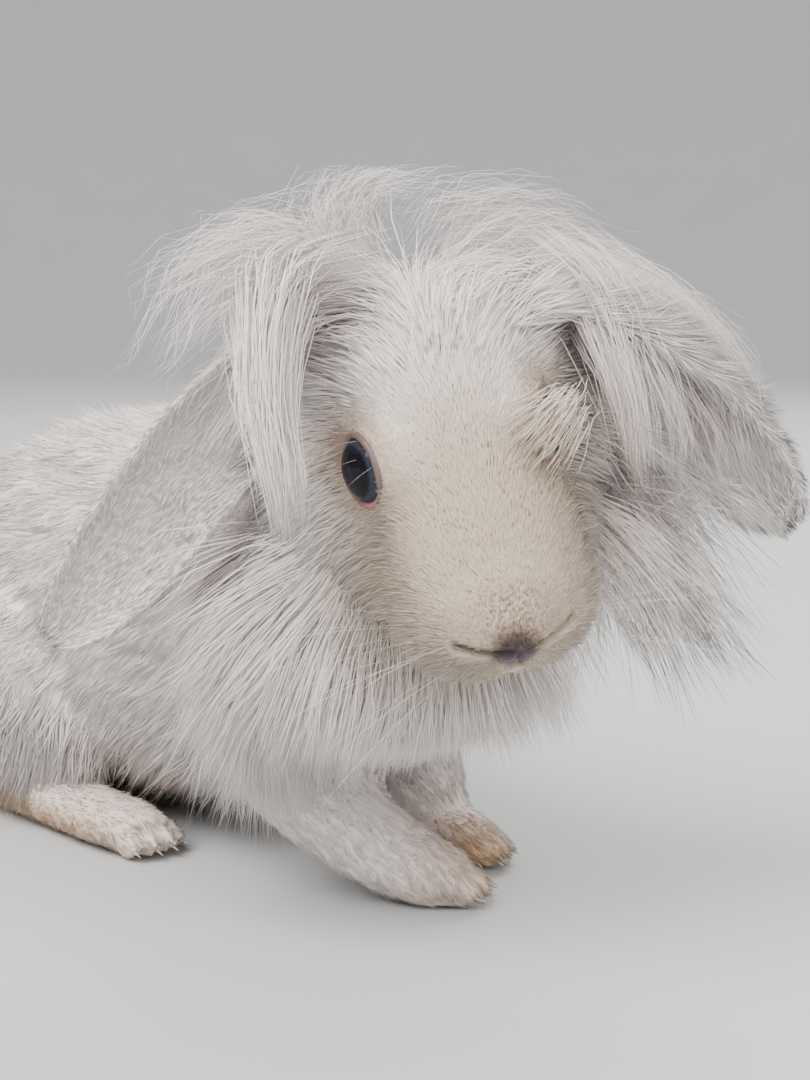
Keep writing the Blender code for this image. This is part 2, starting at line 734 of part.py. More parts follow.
def ear_locks(stations, rng):
    """Wool on the ear's back, that stands off its upper side and lies towards the tip."""
    middle = [Vector(s[0]) * MM for s in stations]
    run = distances_along(middle)
    first, last, count = EAR_LOCKS
    found = []
    for k in range(count):
        at = run[-1] * (first + (last - first) * k / (count - 1))
        root, after, mouth, back = (flowing_points(run, rows, [at + step])[0] for rows, step in (
            (middle, 0), (middle, 4 * MM), ([Vector(s[1]) for s in stations], 0),
            ([Vector((s[3], 0, 0)) * MM for s in stations], 0)))
        along = (after - root).normalized()
        mouth = (mouth - along * mouth.dot(along)).normalized()
        root = root - mouth * (back.x - 1.5 * MM)
        line = [root]
        for step in range(6):
            lift = 0.75 - 0.2 * step + rng.uniform(-0.05, 0.05)
            line.append(line[-1] + (along - mouth * lift).normalized() * 5 * MM * rng.uniform(0.85, 1.1))
        found.append(lock(line, root + mouth * 20 * MM, 11 * MM, 2.4 * MM))
    return found


def build():
    for item in list(bpy.data.objects):
        bpy.data.objects.remove(item)
    to_rabbit = head_matrix()

    body = torso()
    foreleg_right = toes(limb("foreleg_right", RIGHT_FORELEG), RIGHT_FORELEG)
    foreleg_left = toes(limb("foreleg_left", LEFT_FORELEG), LEFT_FORELEG)
    feet, thighs = [], []
    for side, label in ((1, "left"), (-1, "right")):
        foot = toes(limb("hindfoot_" + label, HINDFOOT, side), HINDFOOT, side)
        thighs.append(cut_clear(thigh("haunch_" + label, side), foot))
        feet.append(foot)
    cut_clear(body, *thighs, *feet)
    cut_clear(foreleg_right, body)
    cut_clear(foreleg_left, body)
    tail = cut_clear(ball("tail", Vector((-148, 7, 50)) * MM, Vector((15, 17, 24)) * MM, 12, 8), body)

    skull = head_core()
    cuts = face_cuts(surface_of(skull))
    joined(skull, lid_ring(1), lid_ring(-1), solver="MANIFOLD")
    boolean(skull, cuts, "DIFFERENCE", "MANIFOLD")
    placed(skull, to_rabbit)
    eyes = []
    for side, label in ((1, "left"), (-1, "right")):
        eye = ball("eye_" + label, mirrored(EYE_PLACE, side), [EYE_RADIUS] * 3, 13, 7)
        eyes.append(placed(eye, to_rabbit))
    cut_clear(skull, *eyes, solver="MANIFOLD")

    rng = random.Random(LOCK_SEED)
    ears = [ear("ear_right", RIGHT_EAR), ear("ear_left", LEFT_EAR)]
    skin, shoulders = surface_of(skull), surface_of(body)
    hard = [shoulders, surface_of(foreleg_right), surface_of(foreleg_left)]
    hair = head_locks(skin, [skin, shoulders], rng)
    wool = ear_locks(LEFT_EAR, rng)
    head_room, ear_room = spares([skull, *hair]), spares([*ears, *wool])
    joined(skull, *hair, solver="MANIFOLD")
    cut_clear(skull, *eyes, solver="MANIFOLD")
    joined(ears[1], *wool, solver="MANIFOLD")
    for one in ears:
        cut_clear(one, body, *head_room, solver="MANIFOLD")
    ruff = ball("neck", RUFF_CENTRE, RUFF_CORE_RADII, 18, 11)
    joined(ruff, *mane_locks([skin, *hard], rng), solver="MANIFOLD")
    cut_clear(ruff, body, foreleg_right, foreleg_left, *head_room, *ear_room, solver="MANIFOLD")
    for spare in head_room + ear_room:
        bpy.data.objects.remove(spare)

    kinds = {"coat": (body, tail, foreleg_right, foreleg_left, *thighs), "mane": (ruff,)}
    kinds.update({"face": (skull,), "ear": ears, "foot": feet, "eye": eyes})
    for kind, parts in kinds.items():
        for part in parts:
            finish(part, kind)


build()
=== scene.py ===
"""The looks of a lionhead rabbit with hanging ears: skin, coat, mane, eyes, claws and whiskers.

Rabbit axes, in millimetres: +X runs forward from the rump to the breast, +Y to the rabbit's left,
+Z up from the floor. Head axes are the same for a head that looks straight ahead.
"""

import math

import bmesh
import bpy
import numpy as np
from bpy.props import FloatProperty, FloatVectorProperty, IntProperty, PointerProperty
from mathutils import Matrix, Vector
from mathutils.bvhtree import BVHTree
from mathutils.kdtree import KDTree


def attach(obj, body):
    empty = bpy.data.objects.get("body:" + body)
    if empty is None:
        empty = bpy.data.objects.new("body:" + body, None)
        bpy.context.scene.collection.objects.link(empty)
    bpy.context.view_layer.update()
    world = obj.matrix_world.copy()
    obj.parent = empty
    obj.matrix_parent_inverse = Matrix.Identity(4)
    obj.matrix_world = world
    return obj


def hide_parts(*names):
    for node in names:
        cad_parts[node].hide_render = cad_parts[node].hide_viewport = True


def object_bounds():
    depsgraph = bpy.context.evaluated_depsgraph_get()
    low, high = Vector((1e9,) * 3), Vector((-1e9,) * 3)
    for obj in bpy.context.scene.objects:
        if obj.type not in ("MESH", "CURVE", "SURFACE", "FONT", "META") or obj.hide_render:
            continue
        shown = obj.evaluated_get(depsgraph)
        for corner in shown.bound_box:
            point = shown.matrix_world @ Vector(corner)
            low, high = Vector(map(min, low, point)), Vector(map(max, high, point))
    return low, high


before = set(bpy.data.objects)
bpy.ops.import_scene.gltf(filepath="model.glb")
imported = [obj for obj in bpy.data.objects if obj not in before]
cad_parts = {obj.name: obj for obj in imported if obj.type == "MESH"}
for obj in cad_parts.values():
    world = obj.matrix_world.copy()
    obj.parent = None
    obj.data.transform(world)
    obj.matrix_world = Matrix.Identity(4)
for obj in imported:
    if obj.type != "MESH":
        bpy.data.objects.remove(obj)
cad_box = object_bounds()

bl_info = {
    "name": "Lionhead rabbit",
    "version": (1, 0, 0),
    "blender": (4, 5, 0),
    "location": "View3D > Sidebar > Rabbit",
    "description": "Builds the skin, coat, eyes and stage of a life-size lionhead rabbit",
    "category": "Object",
}

MM = 0.001
BOX_CENTRE = np.array((9.9, -25.0, 0.0))

HEAD_SCALE = 1.02
HEAD_LENGTH, HEAD_WIDTH, HEAD_HEIGHT = 103, 69, 64
HEAD_PLACE = Vector((124.5, -49, 123.5))
HEAD_YAW, HEAD_PITCH, HEAD_ROLL = math.radians(-26), math.radians(40), math.radians(17)
EYE_RADIUS = 9.0
EYE_PLACE = Vector((3, 17.6, 10))
EYE_FACING = Vector((0.22, 0.93, 0.24))
EYE_CORNER = (12.0, 22.5, 6.0)
# Half the lids' opening along and across, seen from the eye's centre, and how pointed its ends are.
LID_LONG, LID_HIGH = math.radians(62), math.radians(57)
LID_ROUND_LONG, LID_ROUND_HIGH = 1.15, 0.95
NOSE_PLACE = (49, 0, -6)
MUZZLE_PLACE, MUZZLE_RADII = (42, 0, -9), (20, 20, 17)
RUFF_CENTRE = np.array((88.0, -33.0, 88.0))
RUFF_RADII = np.array((35.0, 39.0, 42.0))
EAR_THICKNESS = 4.0
EAR_ROLL = math.radians(112)
FLOOR_GAP = 0.9

# Share of the head length ahead of the eyes, half width, top and bottom, as shares of the
# head's length, width and height.
HEAD_STATIONS = (
    (-0.50, 0.00, 0.04, 0.04), (-0.46, 0.24, 0.26, -0.14), (-0.38, 0.38, 0.40, -0.28),
    (-0.26, 0.47, 0.47, -0.40), (-0.12, 0.50, 0.46, -0.47), (0.02, 0.43, 0.40, -0.49),
    (0.15, 0.385, 0.33, -0.47), (0.27, 0.34, 0.24, -0.44), (0.37, 0.30, 0.15, -0.40),
    (0.44, 0.23, 0.07, -0.33), (0.48, 0.13, 0.01, -0.22), (0.495, 0.00, -0.09, -0.09),
)
# Swellings and hollows of the head: where, which way, how high and how wide, on the left side.
HEAD_SHAPING = (
    ((-8, 31, -12), (0, 1, -0.2), 2.5, 12), ((38, 15, -12), (0.3, 1, -0.1), 2.6, 6),
    ((43, 6, -15), (1, 0.4, -0.3), 1.6, 4), ((6, 20, 22), (0, 0.7, 0.7), 2.6, 7),
    ((4, 29, 9), (0, -1, 0), 5.2, 7.5), ((18, 22, 2), (0, -1, 0.3), 1.2, 7),
    ((48, 3.5, -5), (1, 0.3, 0.3), 1.6, 3.5), ((30, 0, -27), (0.5, 0, -1), 1.0, 6),
    ((12, 0, 26), (0, 0, -1), 0.8, 8), ((48, 0, -12), (-1, 0, 0), 1.0, 2.5),
)
# Near ear and far ear: middle line, the way the cup faces, half width and depth of the cup.
RIGHT_EAR = (
    ((108, -58, 146), (0.5, -0.8, -0.2), 9, 8), ((99, -70, 148), (0.5, -0.85, -0.1), 12, 9),
    ((85, -77, 138), (0.6, -0.8, 0.0), 14, 8), ((68, -84, 120), (0.6, -0.8, 0.0), 15, 7),
    ((54, -91, 101), (0.6, -0.8, 0.0), 14.5, 7), ((43, -98, 86), (0.6, -0.8, 0.0), 11, 6),
    ((36, -103, 77), (0.6, -0.8, 0.0), 5, 4),
)
LEFT_EAR = (
    ((121, -38, 149), (0.6, -0.2, -0.8), 9, 8), ((130, -30, 155), (0.6, -0.2, -0.8), 13, 9),
    ((143, -18, 150), (0.6, -0.2, -0.75), 15, 9), ((157, -6, 138), (0.6, -0.2, -0.7), 15, 8),
    ((167, 5, 126), (0.6, -0.3, -0.7), 13, 7), ((174, 12, 116), (0.6, -0.3, -0.7), 9.5, 6),
    ((178, 16, 109), (0.6, -0.3, -0.7), 5, 4),
)

BODY_NODES = ("torso", "haunch_left", "haunch_right", "foreleg_left", "foreleg_right",
              "hindfoot_left", "hindfoot_right", "tail")
SKIN_NODES = BODY_NODES + ("neck", "head", "ear_left", "ear_right")

# Guides for the coat of the head, on head axes: place, the way the hair lies, its length and how
# fast it falls. They stand for both sides, and the coat between them is blended.
FACE_GUIDES = (
    ((49, 0, -3), (-1, 0, 0.9), 1.5, 0.0), ((48, 5, -8), (-0.6, 0.8, -0.1), 1.6, 0.0),
    ((44, 0, 3), (-1, 0, 0.4), 2.6, 0.0), ((44, 7, -2), (-1, 0.3, 0.1), 2.8, 0.0),
    ((47, 3, -13), (-0.5, 0.5, -0.8), 2.2, 0.0), ((40, 12, -10), (-0.8, 0.6, -0.4), 6.0, 0.0),
    ((38, 15, -14), (-0.6, 0.8, -0.5), 9.0, 0.1),
    ((40, 9, -18), (-0.5, 0.3, -0.8), 6.5, 0.1), ((30, 0, 12), (-1, 0, 0.4), 3.4, 0.0),
    ((30, 14, 4), (-1, 0.2, -0.1), 3.4, 0.0), ((28, 18, -10), (-0.7, 0.6, -0.5), 9.5, 0.15),
    ((30, 0, -27), (-0.6, 0, -0.9), 8, 0.1), ((27, 12, -24), (-0.5, 0.4, -0.8), 10, 0.2),
    ((14, 0, 22), (-1, 0, 0.2), 4.0, 0.0), ((12, 12, 20), (-1, 0.25, 0.0), 4.0, 0.0),
    ((14, 22, 2), (-0.6, 0.5, -0.6), 6.5, 0.15), ((8, 25, -8), (-0.2, 0.55, -0.75), 16, 0.4),
    ((18, 20, -12), (-0.35, 0.5, -0.75), 14, 0.4), ((24, 16, -20), (-0.4, 0.4, -0.8), 18, 0.4),
    ((4, 26, -18), (0.0, 0.55, -0.8), 30, 0.4), ((14, 17, -26), (-0.2, 0.4, -0.9), 26, 0.35),
    ((6, 16, -28), (-0.1, 0.4, -0.9), 24, 0.3), ((2, 0, 27), (-1, 0.1, 0.1), 4.5, 0.05),
    ((2, 9, 27), (-1, 0.2, 0.1), 4.5, 0.05), ((2, 20, 20), (-0.8, 0.5, 0.0), 4.5, 0.1),
    ((-9, 0, 29), (-1, 0.1, 0.15), 5.5, 0.1), ((-9, 10, 28), (-1, 0.3, 0.1), 5.5, 0.1),
    ((-9, 20, 23), (-0.8, 0.6, 0.1), 6.0, 0.1), ((-14, 5, 30), (-0.8, 0.5, 0.4), 10.0, 0.15),
    ((-9, 30, 8), (-0.7, 0.7, -0.3), 10, 0.2), ((-5, 30, -8), (-0.6, 0.6, -0.5), 12, 0.2),
    ((-6, 0, -31), (-0.5, 0, -1), 26, 0.2),
)
FORELOCK_GUIDES = (
    ((-19, 19, 25), (-0.2, 1.0, 0.05), 36, 0.5), ((-28, 18, 27), (-0.2, 1.0, 0.05), 46, 0.5),
    ((-40, 17, 21), (-0.3, 1.0, 0.05), 46, 0.5), ((-22, 11, 29), (-0.3, 1.0, 0.45), 30, 0.6),
    ((-31, 9, 29), (-0.3, 1.0, 0.45), 42, 0.6), ((-40, 10, 25), (-0.3, 1.0, 0.45), 42, 0.6),
    ((-22, 3, 30), (-0.4, 0.8, 0.8), 22, 0.7), ((-34, 4, 28), (-0.5, 0.8, 0.7), 34, 0.7),
    ((-45, 6, 14), (-0.8, 0.3, -0.2), 42, 0.35), ((-48, 6, 0), (-0.8, 0.3, -0.4), 42, 0.35),
)
LEFT_GUIDES = (
    ((13, 17, 18), (0.0, 0.7, 0.5), 8, 0.1), ((6, 18, 22), (-0.1, 0.8, 0.4), 8, 0.1),
    ((-30, 32, -2), (0.1, 0.85, -0.5), 70, 0.25), ((-20, 33, -16), (0.25, 0.75, -0.65), 84, 0.25),
    ((-14, 30, -26), (0.25, 0.7, -0.75), 84, 0.2), ((-13, 33, -12), (0.3, 0.75, -0.6), 78, 0.25),
    ((-13, 31, 0), (0.1, 0.7, -0.6), 46, 0.45), ((-2, 26, -20), (0.3, 0.7, -0.7), 58, 0.3),
    ((-38, 24, -10), (-0.1, 0.9, -0.4), 56, 0.3),
)
RIGHT_GUIDES = (
    ((-28, -33, -8), (0.1, -0.5, -0.7), 46, 0.35), ((-14, -31, -26), (0.1, -0.5, -0.7), 44, 0.35),
    ((-13, -32, -14), (0.1, -0.5, -0.7), 38, 0.4), ((0, -24, -26), (0.1, -0.5, -0.7), 32, 0.4),
    ((-13, -31, 0), (0.0, -0.5, -0.7), 30, 0.5), ((-38, -24, -10), (-0.3, -0.6, -0.6), 44, 0.3),
)
# Locks that stand out, in rabbit millimetres: the path, how many hairs, and their spread at root,
# middle and tip.
SIDE_LOCKS = (
    (((100, -58, 170), (105, -86, 166), (116, -100, 136), (129, -106, 109)), 620, (6.0, 3.2, 1.8)),
    (((84, -73, 169), (103, -93, 155), (114, -100, 137), (119, -101, 124)), 200, (4.5, 3.0, 2.2)),
    (((123, -20, 176), (144, -23, 165), (158, -26, 142), (166, -29, 116)), 320, (4.5, 3.0, 1.5)),
    (((124, -15, 175), (147, -16, 162), (163, -16, 138), (169, -18, 117)), 160, (5.0, 3.5, 2.0)),
    (((123, -13, 173), (145, -6, 163), (162, -1, 151), (171, 2, 134)), 240, (6.0, 5.0, 3.0)),
    (((132, -7, 161), (152, -2, 154), (165, 1, 139), (174, 3, 117)), 620, (5.0, 5.0, 4.0)),
)
# Fur of the far brow that hangs over its eye, on head axes.
FAR_BROW = (((15, 15, 18), (12, 20, 19), (8, 24, 18), (4, 27, 14)), 240, (5.0, 3.6, 3.0))
WISPS = (
    (((99, -50, 172), (97, -54, 186), (104, -47, 194), (113, -32, 195)), 50, (5, 3, 3)),
    (((98, -51, 171), (94, -58, 183), (101, -55, 192), (109, -41, 194)), 40, (5, 3, 3)),
    (((98, -57, 170), (95, -66, 180), (98, -64, 188), (103, -56, 192)), 50, (5, 3, 3)),
    (((108, -41, 173), (109, -33, 186), (115, -18, 187), (125, -2, 180)), 80, (6, 4, 4)),
    (((115, -35, 171), (119, -21, 182), (126, -6, 182), (131, 4, 168)), 70, (6, 4, 4)),
    (((101, -69, 168), (96, -83, 176), (91, -96, 172), (88, -107, 158)), 100, (5, 4, 5)),
    (((104, -74, 165), (99, -89, 170), (94, -104, 163), (89, -116, 147)), 90, (4, 4, 5)),
    (((98, -65, 170), (97, -72, 180), (93, -82, 180), (90, -92, 173)), 60, (5, 4, 4)),
    (((121, -29, 168), (126, -10, 177), (132, 6, 172), (140, 16, 161)), 70, (6, 4, 4)),
    (((140, 2, 159), (152, 8, 158), (159, 16, 154), (162, 20, 146)), 80, (6, 3, 2)),
    (((145, 4, 156), (156, 8, 153), (163, 13, 147), (165, 15, 137)), 60, (6, 3, 2)),
    (((40, -101, 80), (34, -105, 76), (29, -107, 74), (25, -109, 74)), 40, (2.5, 1.5, 1.0)),
)
# Lashes of the left eye on head axes: root, way and length.
LASHES = (((3, 24, 19), (-0.4, 1.0, -0.1), 9), ((9, 23, 17), (0.2, 1.0, -0.2), 8),
          ((-3, 25, 18), (-0.8, 0.9, -0.3), 9), ((0, 24, 19), (-0.6, 1.0, 0.0), 7),
          ((6, 23, 18), (0.0, 1.0, 0.1), 7), ((-5, 26, 15), (-0.9, 0.9, -0.5), 8))
# The last stations of each leg, forward, left, up and half width, and its side.
HIND_TOES = ((-16, 46, 7, 13), (0, 46, 6.5, 12), (8, 46, 4, 0))
LEGS = ((((88, -20, 8.5, 13.5), (96, -14, 6.5, 12), (101, -10, 5, 0)), 1),
        (((72, 14, 7, 12.5), (80, 14, 6, 11), (86, 14, 4, 0)), 1), (HIND_TOES, 1), (HIND_TOES, -1))
# Nostril and mouth of the left side and the cleft of the lip, on head axes.
NOSTRIL = ((51.9, 0.8, -7.0), (51.2, 4.0, -6.0), (50.2, 7.5, -5.6), (48.2, 10.6, -5.6),
           (46.4, 12.8, -5.0))
MOUTH = ((49, 0, -15), (47, 5, -16), (44.5, 9.5, -16.5), (40, 13.5, -16))
CLEFT = ((52, 0, -7.2), (52, 0, -9.5), (51.2, 0, -12), (49, 0, -15))
# Each form of the skin and the region whose hair grows there.
REGION_OF = {"head_core": "head", "lids": "head", "lids.001": "head", "ear_r": "ear_r", "ear_l": "ear_l",
             "ruff_form": "mane", "torso_form": "torso", "haunch_left_form": "haunch",
             "haunch_right_form": "haunch", "foreleg_left_form": "foreleg",
             "foreleg_right_form": "foreleg", "hindfoot_left_form": "hindfoot",
             "hindfoot_right_form": "hindfoot", "tail_form": "tail"}
REGIONS = ("head", "mane", "ear_r", "ear_l", "torso", "haunch", "tail", "foreleg", "hindfoot")
# How hair grows: over the coat below it, or close to the skin where only the floor stops it.
BODY_WAY = {"keep_out": False, "ruffle": 0.09, "wander": 0.25, "wavelength": 11.0, "sink": 0.5}
MANE_WAY = {"ruffle": 0.12, "wander": 0.3, "wavelength": 20.0, "clearance": 2.0}
LOCK_WAY = {"ruffle": 0.13, "wander": 0.3, "wavelength": 18.0, "clearance": 2.0}
EAR_WAY = {"keep_out": False, "ruffle": 0.06, "wander": 0.15, "wavelength": 12.0, "sink": 0.1}
# Pieces of the coat: slot, hairs, rings along each, width in millimetres (none for the body's own),
# hairs to a clump, how tight the clumps are, seed, longest hair, and how it grows.
COATS = {
    "coat_rump": ("coat", 18000, 1, None, 8, 0.3, 10, 99, BODY_WAY),
    "coat_back": ("coat", 18500, 1, None, 8, 0.3, 11, 99, BODY_WAY),
    "coat_shoulder": ("coat", 21500, 1, None, 8, 0.3, 12, 99, BODY_WAY),
    "mane_right": ("mane", 6300, 3, 0.31, 10, 0.2, 20, 99, MANE_WAY),
    "mane_middle": ("mane", 6300, 3, 0.31, 10, 0.2, 21, 99, MANE_WAY),
    "mane_left": ("mane", 6300, 3, 0.31, 10, 0.2, 22, 99, MANE_WAY),
    "mane_wool": ("mane", 28000, 1, 0.55, 8, 0.2, 25, 17,
                  {"keep_out": False, "ruffle": 0.12, "wander": 0.3, "wavelength": 9.0}),
    "forelock_right": ("mane", 4700, 4, 0.32, 10, 0.25, 30, 99, LOCK_WAY),
    "forelock_left": ("mane", 7500, 4, 0.32, 10, 0.25, 31, 99, LOCK_WAY),
    "head_wool": ("mane", 26000, 1, 0.52, 8, 0.25, 35, 16,
                  {"keep_out": False, "ruffle": 0.15, "wander": 0.3, "wavelength": 9.0}),
    "face_coat": ("face", 43000, 1, 0.42, 6, 0.15, 40, 99,
                  {"keep_out": False, "ruffle": 0.06, "wander": 0.15, "wavelength": 9.0, "sink": 0.12}),
    "ear_coat_right": ("ear", 15500, 1, 0.57, 6, 0.1, 50, 99, EAR_WAY),
    "ear_coat_left": ("ear", 15500, 1, 0.57, 6, 0.1, 51, 99, EAR_WAY),
    "ear_wool": ("ear", 2400, 3, 0.36, 8, 0.25, 55, 99,
                 {"ruffle": 0.2, "wander": 0.3, "wavelength": 12.0, "clearance": 1.2}),
    "leg_coat": ("foot", 19500, 1, 0.5, 6, 0.3, 60, 99,
                 {"keep_out": False, "ruffle": 0.1, "wander": 0.25, "wavelength": 9.0, "sink": 0.15}),
}
# Half width of a hair at each ring, as a share, by the number of rings.
OUTLINES = {1: (1.0,), 3: (0.6, 1.0, 0.8), 4: (0.6, 1.0, 0.95, 0.65), 6: (0.5, 0.9, 1.0, 0.95, 0.8, 0.5)}
# How far hair may pass the solids' bounds: a share of their size, and metres on each axis.
ROOM_SHARE, ROOM = 0.03, (0.006, 0.003, 0.003)

# Markings on head axes, with painted shade round the eyes and in part on the face: place, and the radii
# between which they fade, in millimetres.
SPOTS = {
    # The face's cream is partly the coat's own colour and partly painted shade of the face turned down
    # from the light.
    "face": ((26, 0, -2), 22, 56), "parting": ((-14, 0, 28), 2, 14), "bridge": ((46, 0, 0), 4, 13),
    "nose": ((50, 0, -6), 4, 10), "snout": ((51, -1.5, -5), 2.5, 8.2), "lip": ((51, 0, -10), 3, 7.5),
    # The two spots round the eyes are painted shade of the deep-set eyes.
    "eye_shade_left": ((1, 22, 11), 9.5, 16), "eye_shade_right": ((1, -22, 11), 9.5, 16),
}
# Stained feet, in rabbit millimetres.
TOES = ((99, -8, 3), (86, 14, 3))
HIND_FEET = ((-20, -46, 2), (-20, 46, 2), (-60, -46, 2), (-60, 46, 2))
# Colours given here, which don't follow from the panel's.
BRIDGE_BROWN, SNOUT_DARK = (0.20, 0.125, 0.085), (0.055, 0.038, 0.038)
# The skin's darkening under the coat is painted shade, to match the hair above it, which shades itself.
UNDER_COAT_SHADE, LIP_DARK = (0.88, 0.865, 0.86), (0.09, 0.062, 0.078)
# The creases' near black is painted shadow in the nostrils, cleft and mouth.
LID_SHADE, CREASE_SHADOW = (0.16, 0.10, 0.085), (0.014, 0.009, 0.009)
LID_DARK, LID_PALE = (0.10, 0.06, 0.055), (0.19, 0.12, 0.105)
PUPIL_BLACK, RIM_PALE = (0.006, 0.006, 0.009), (0.16, 0.12, 0.12)
FLOOR_DARK, FLOOR_PALE = (0.455, 0.465, 0.465), (0.485, 0.495, 0.495)

# The stage, in metres.
CAMERA_PLACE, CAMERA_TURN = (0.3985, -0.345, 0.166), (math.radians(82), 0, math.radians(43))
WORLD_COLOUR, WORLD_STRENGTH = (1.0, 0.975, 0.97, 1), 1.15
FLOOR_RADIUS, FLOOR_CURVE = 3.0, 2.5
# Name, place, size in metres, power in watts and colour of each lamp.
LIGHTS = (
    ("key", (-0.1, -1.5, 1.8), 1.8, 98, (1.0, 0.975, 0.945)),
    ("fill", (1.5, -0.4, 1.1), 1.8, 27, (1.0, 0.97, 0.965)),
    ("back", (-0.6, 1.4, 1.5), 1.6, 34, (1.0, 0.99, 0.98)),
)


def length_setting(name, description, default, **more):
    return FloatProperty(name=name, description=description, default=default, unit="LENGTH", **more)


def colour_setting(name, description, default):
    return FloatVectorProperty(name=name, description=description, default=default, subtype="COLOR",
                               size=3)


class RabbitSizes(bpy.types.PropertyGroup):
    """Sizes of the skin and the coat."""
    skin_grain: length_setting("Skin grain", "Side of the skin mesh's faces", 0.0014)
    body_hair: length_setting("Body hair", "Length of the coat on back and flanks", 0.0135)
    mane_hair: length_setting("Mane hair", "Length of the mane and the bib", 0.054)
    head_hair: FloatProperty(name="Head hair", description="Share of the lengths of the head's guides",
                             default=1.0, subtype="FACTOR")
    hair_width: length_setting("Hair width", "Width of a tuft of the body coat", 0.00054, precision=5)
    seed: IntProperty(name="Seed", description="Seed of every random draw", default=5, min=0)


class RabbitColours(bpy.types.PropertyGroup):
    """Colours of the coat, the skin and the eyes."""
    white: colour_setting("White", "Body and mane", (0.985, 0.905, 0.875))
    # Cream is partly the face's own colour and partly painted shade of the face, which turns down from
    # the light.
    cream_and_shade: colour_setting("Cream", "Face", (0.56, 0.435, 0.31))
    # Tan also serves as painted shade round the eyes.
    tan: colour_setting("Tan", "Stains on the nose, feet and parting", (0.50, 0.34, 0.21))
    skin: colour_setting("Skin", "Bare skin of nose and lids", (0.36, 0.15, 0.125))
    iris: colour_setting("Iris", "Slate blue ring of the eye", (0.030, 0.036, 0.052))
    claw: colour_setting("Claw", "Claws", (0.50, 0.42, 0.34))


def sizes():
    return bpy.context.scene.rabbit_sizes


def colours():
    return bpy.context.scene.rabbit_colours


def head_turn():
    """Turns and scales head axes to rabbit axes."""
    turn = Matrix.Rotation(HEAD_YAW, 3, "Z") @ Matrix.Rotation(HEAD_PITCH, 3, "Y")
    return turn @ Matrix.Rotation(HEAD_ROLL, 3, "X") * HEAD_SCALE


HEAD_TURN = np.array(head_turn())


def on_head(points):
    """Points or one point on head axes, carried to rabbit axes."""
    return np.asarray(points, float) @ HEAD_TURN.T + np.array(HEAD_PLACE)


def from_head(points):
    """Points on rabbit axes, read on head axes."""
    return (np.asarray(points, float) - np.array(HEAD_PLACE)) @ np.linalg.inv(HEAD_TURN).T


def to_row(points):
    """Points on rabbit axes in millimetres, carried to the frame in metres."""
    return (np.asarray(points, float) - BOX_CENTRE) * MM


def from_row(points):
    """Points of the frame in metres, read on rabbit axes in millimetres."""
    return np.asarray(points, float) / MM + BOX_CENTRE


def unit(vectors):
    """The vectors, each one long."""
    vectors = np.asarray(vectors, float)
    return vectors / np.maximum(np.linalg.norm(vectors, axis=-1, keepdims=True), 1e-9)


def mirrored(point, side):
    """The point itself for side 1, and its mirror image for side -1."""
    return np.array((point[0], point[1] * side, point[2]), float)


def far_from(points, place):
    """How far each point is from the place."""
    return np.linalg.norm(points - place, axis=1)


def ruff_share(points, room=0.0):
    """One on the ruff's ellipsoid, widened by the room, and less inside it."""
    return np.linalg.norm((points - RUFF_CENTRE) / (RUFF_RADII + room), axis=1)


def muzzle_share(head):
    """One on the edge of the muzzle that gets finer faces, and less inside it."""
    return np.linalg.norm((head - MUZZLE_PLACE) / MUZZLE_RADII, axis=1)


def smooth_step(low, high, values):
    """Nought at the low end and one at the high end, with a smooth rise between."""
    share = np.clip((np.asarray(values, float) - low) / (high - low), 0, 1)
    return share * share * (3 - 2 * share)


def flowing(knots, values, at):
    """Values read at these places from a smooth curve through the knots that never overshoots."""
    knots, values = np.asarray(knots, float), np.asarray(values, float)
    step = np.diff(knots)
    slope = np.diff(values) / step
    tangent = np.zeros(len(knots))
    same_way = slope[:-1] * slope[1:] > 0
    before = (step[1:] * 2 + step[:-1])[same_way]
    after = (step[1:] + step[:-1] * 2)[same_way]
    mixed = np.zeros(len(slope) - 1)
    mixed[same_way] = (before + after) / (before / slope[:-1][same_way] + after / slope[1:][same_way])
    tangent[1:-1] = mixed
    tangent[0], tangent[-1] = slope[0], slope[-1]
    at = np.clip(at, knots[0], knots[-1])
    piece = np.clip(np.searchsorted(knots, at, side="right") - 1, 0, len(step) - 1)
    width = step[piece]
    t = (at - knots[piece]) / width
    return ((2 * t**3 - 3 * t**2 + 1) * values[piece] + (t**3 - 2 * t**2 + t) * width * tangent[piece]
            + (3 * t**2 - 2 * t**3) * values[piece + 1] + (t**3 - t**2) * width * tangent[piece + 1])


def flowing_points(knots, points, at):
    points = np.asarray(points, float)
    return np.stack([flowing(knots, points[:, i], at) for i in range(3)], axis=1)


def distances_along(points):
    """How far along the line each of its points lies."""
    steps = np.linalg.norm(np.diff(np.asarray(points, float), axis=0), axis=1)
    return np.concatenate(([0.0], np.cumsum(steps)))


def alone(*pieces):
    """Deselects everything, then selects the pieces and makes the first one active."""
    bpy.ops.object.select_all(action="DESELECT")
    for piece in pieces:
        piece.select_set(True)
    bpy.context.view_layer.objects.active = pieces[0]
    return pieces[0]


def primitive(kind, **settings):
    """A new mesh primitive, alone in the selection."""
    bpy.ops.object.select_all(action="DESELECT")
    getattr(bpy.ops.mesh, f"primitive_{kind}_add")(**settings)
    return bpy.context.object


def linked(name, mesh):
    """A new object of the mesh in the scene."""
    piece = bpy.data.objects.new(name, mesh)
    bpy.context.scene.collection.objects.link(piece)
    return piece


def edited(piece, operator, **settings):
    """Runs one mesh operator on everything selected in the piece, in edit mode."""
    alone(piece)
    bpy.ops.object.mode_set(mode="EDIT")
    operator(**settings)
    bpy.ops.object.mode_set(mode="OBJECT")


def joined(pieces, name):
    """Joins the pieces into the first one."""
    alone(*pieces)
    bpy.ops.object.join()
    pieces[0].name = name
    return pieces[0]


def settled(piece):
    """Applies the piece's place and modifiers, so that its mesh holds them."""
    alone(piece)
    bpy.ops.object.transform_apply(location=True, rotation=True, scale=True)
    for modifier in list(piece.modifiers):
        bpy.ops.object.modifier_apply(modifier=modifier.name)
    return piece


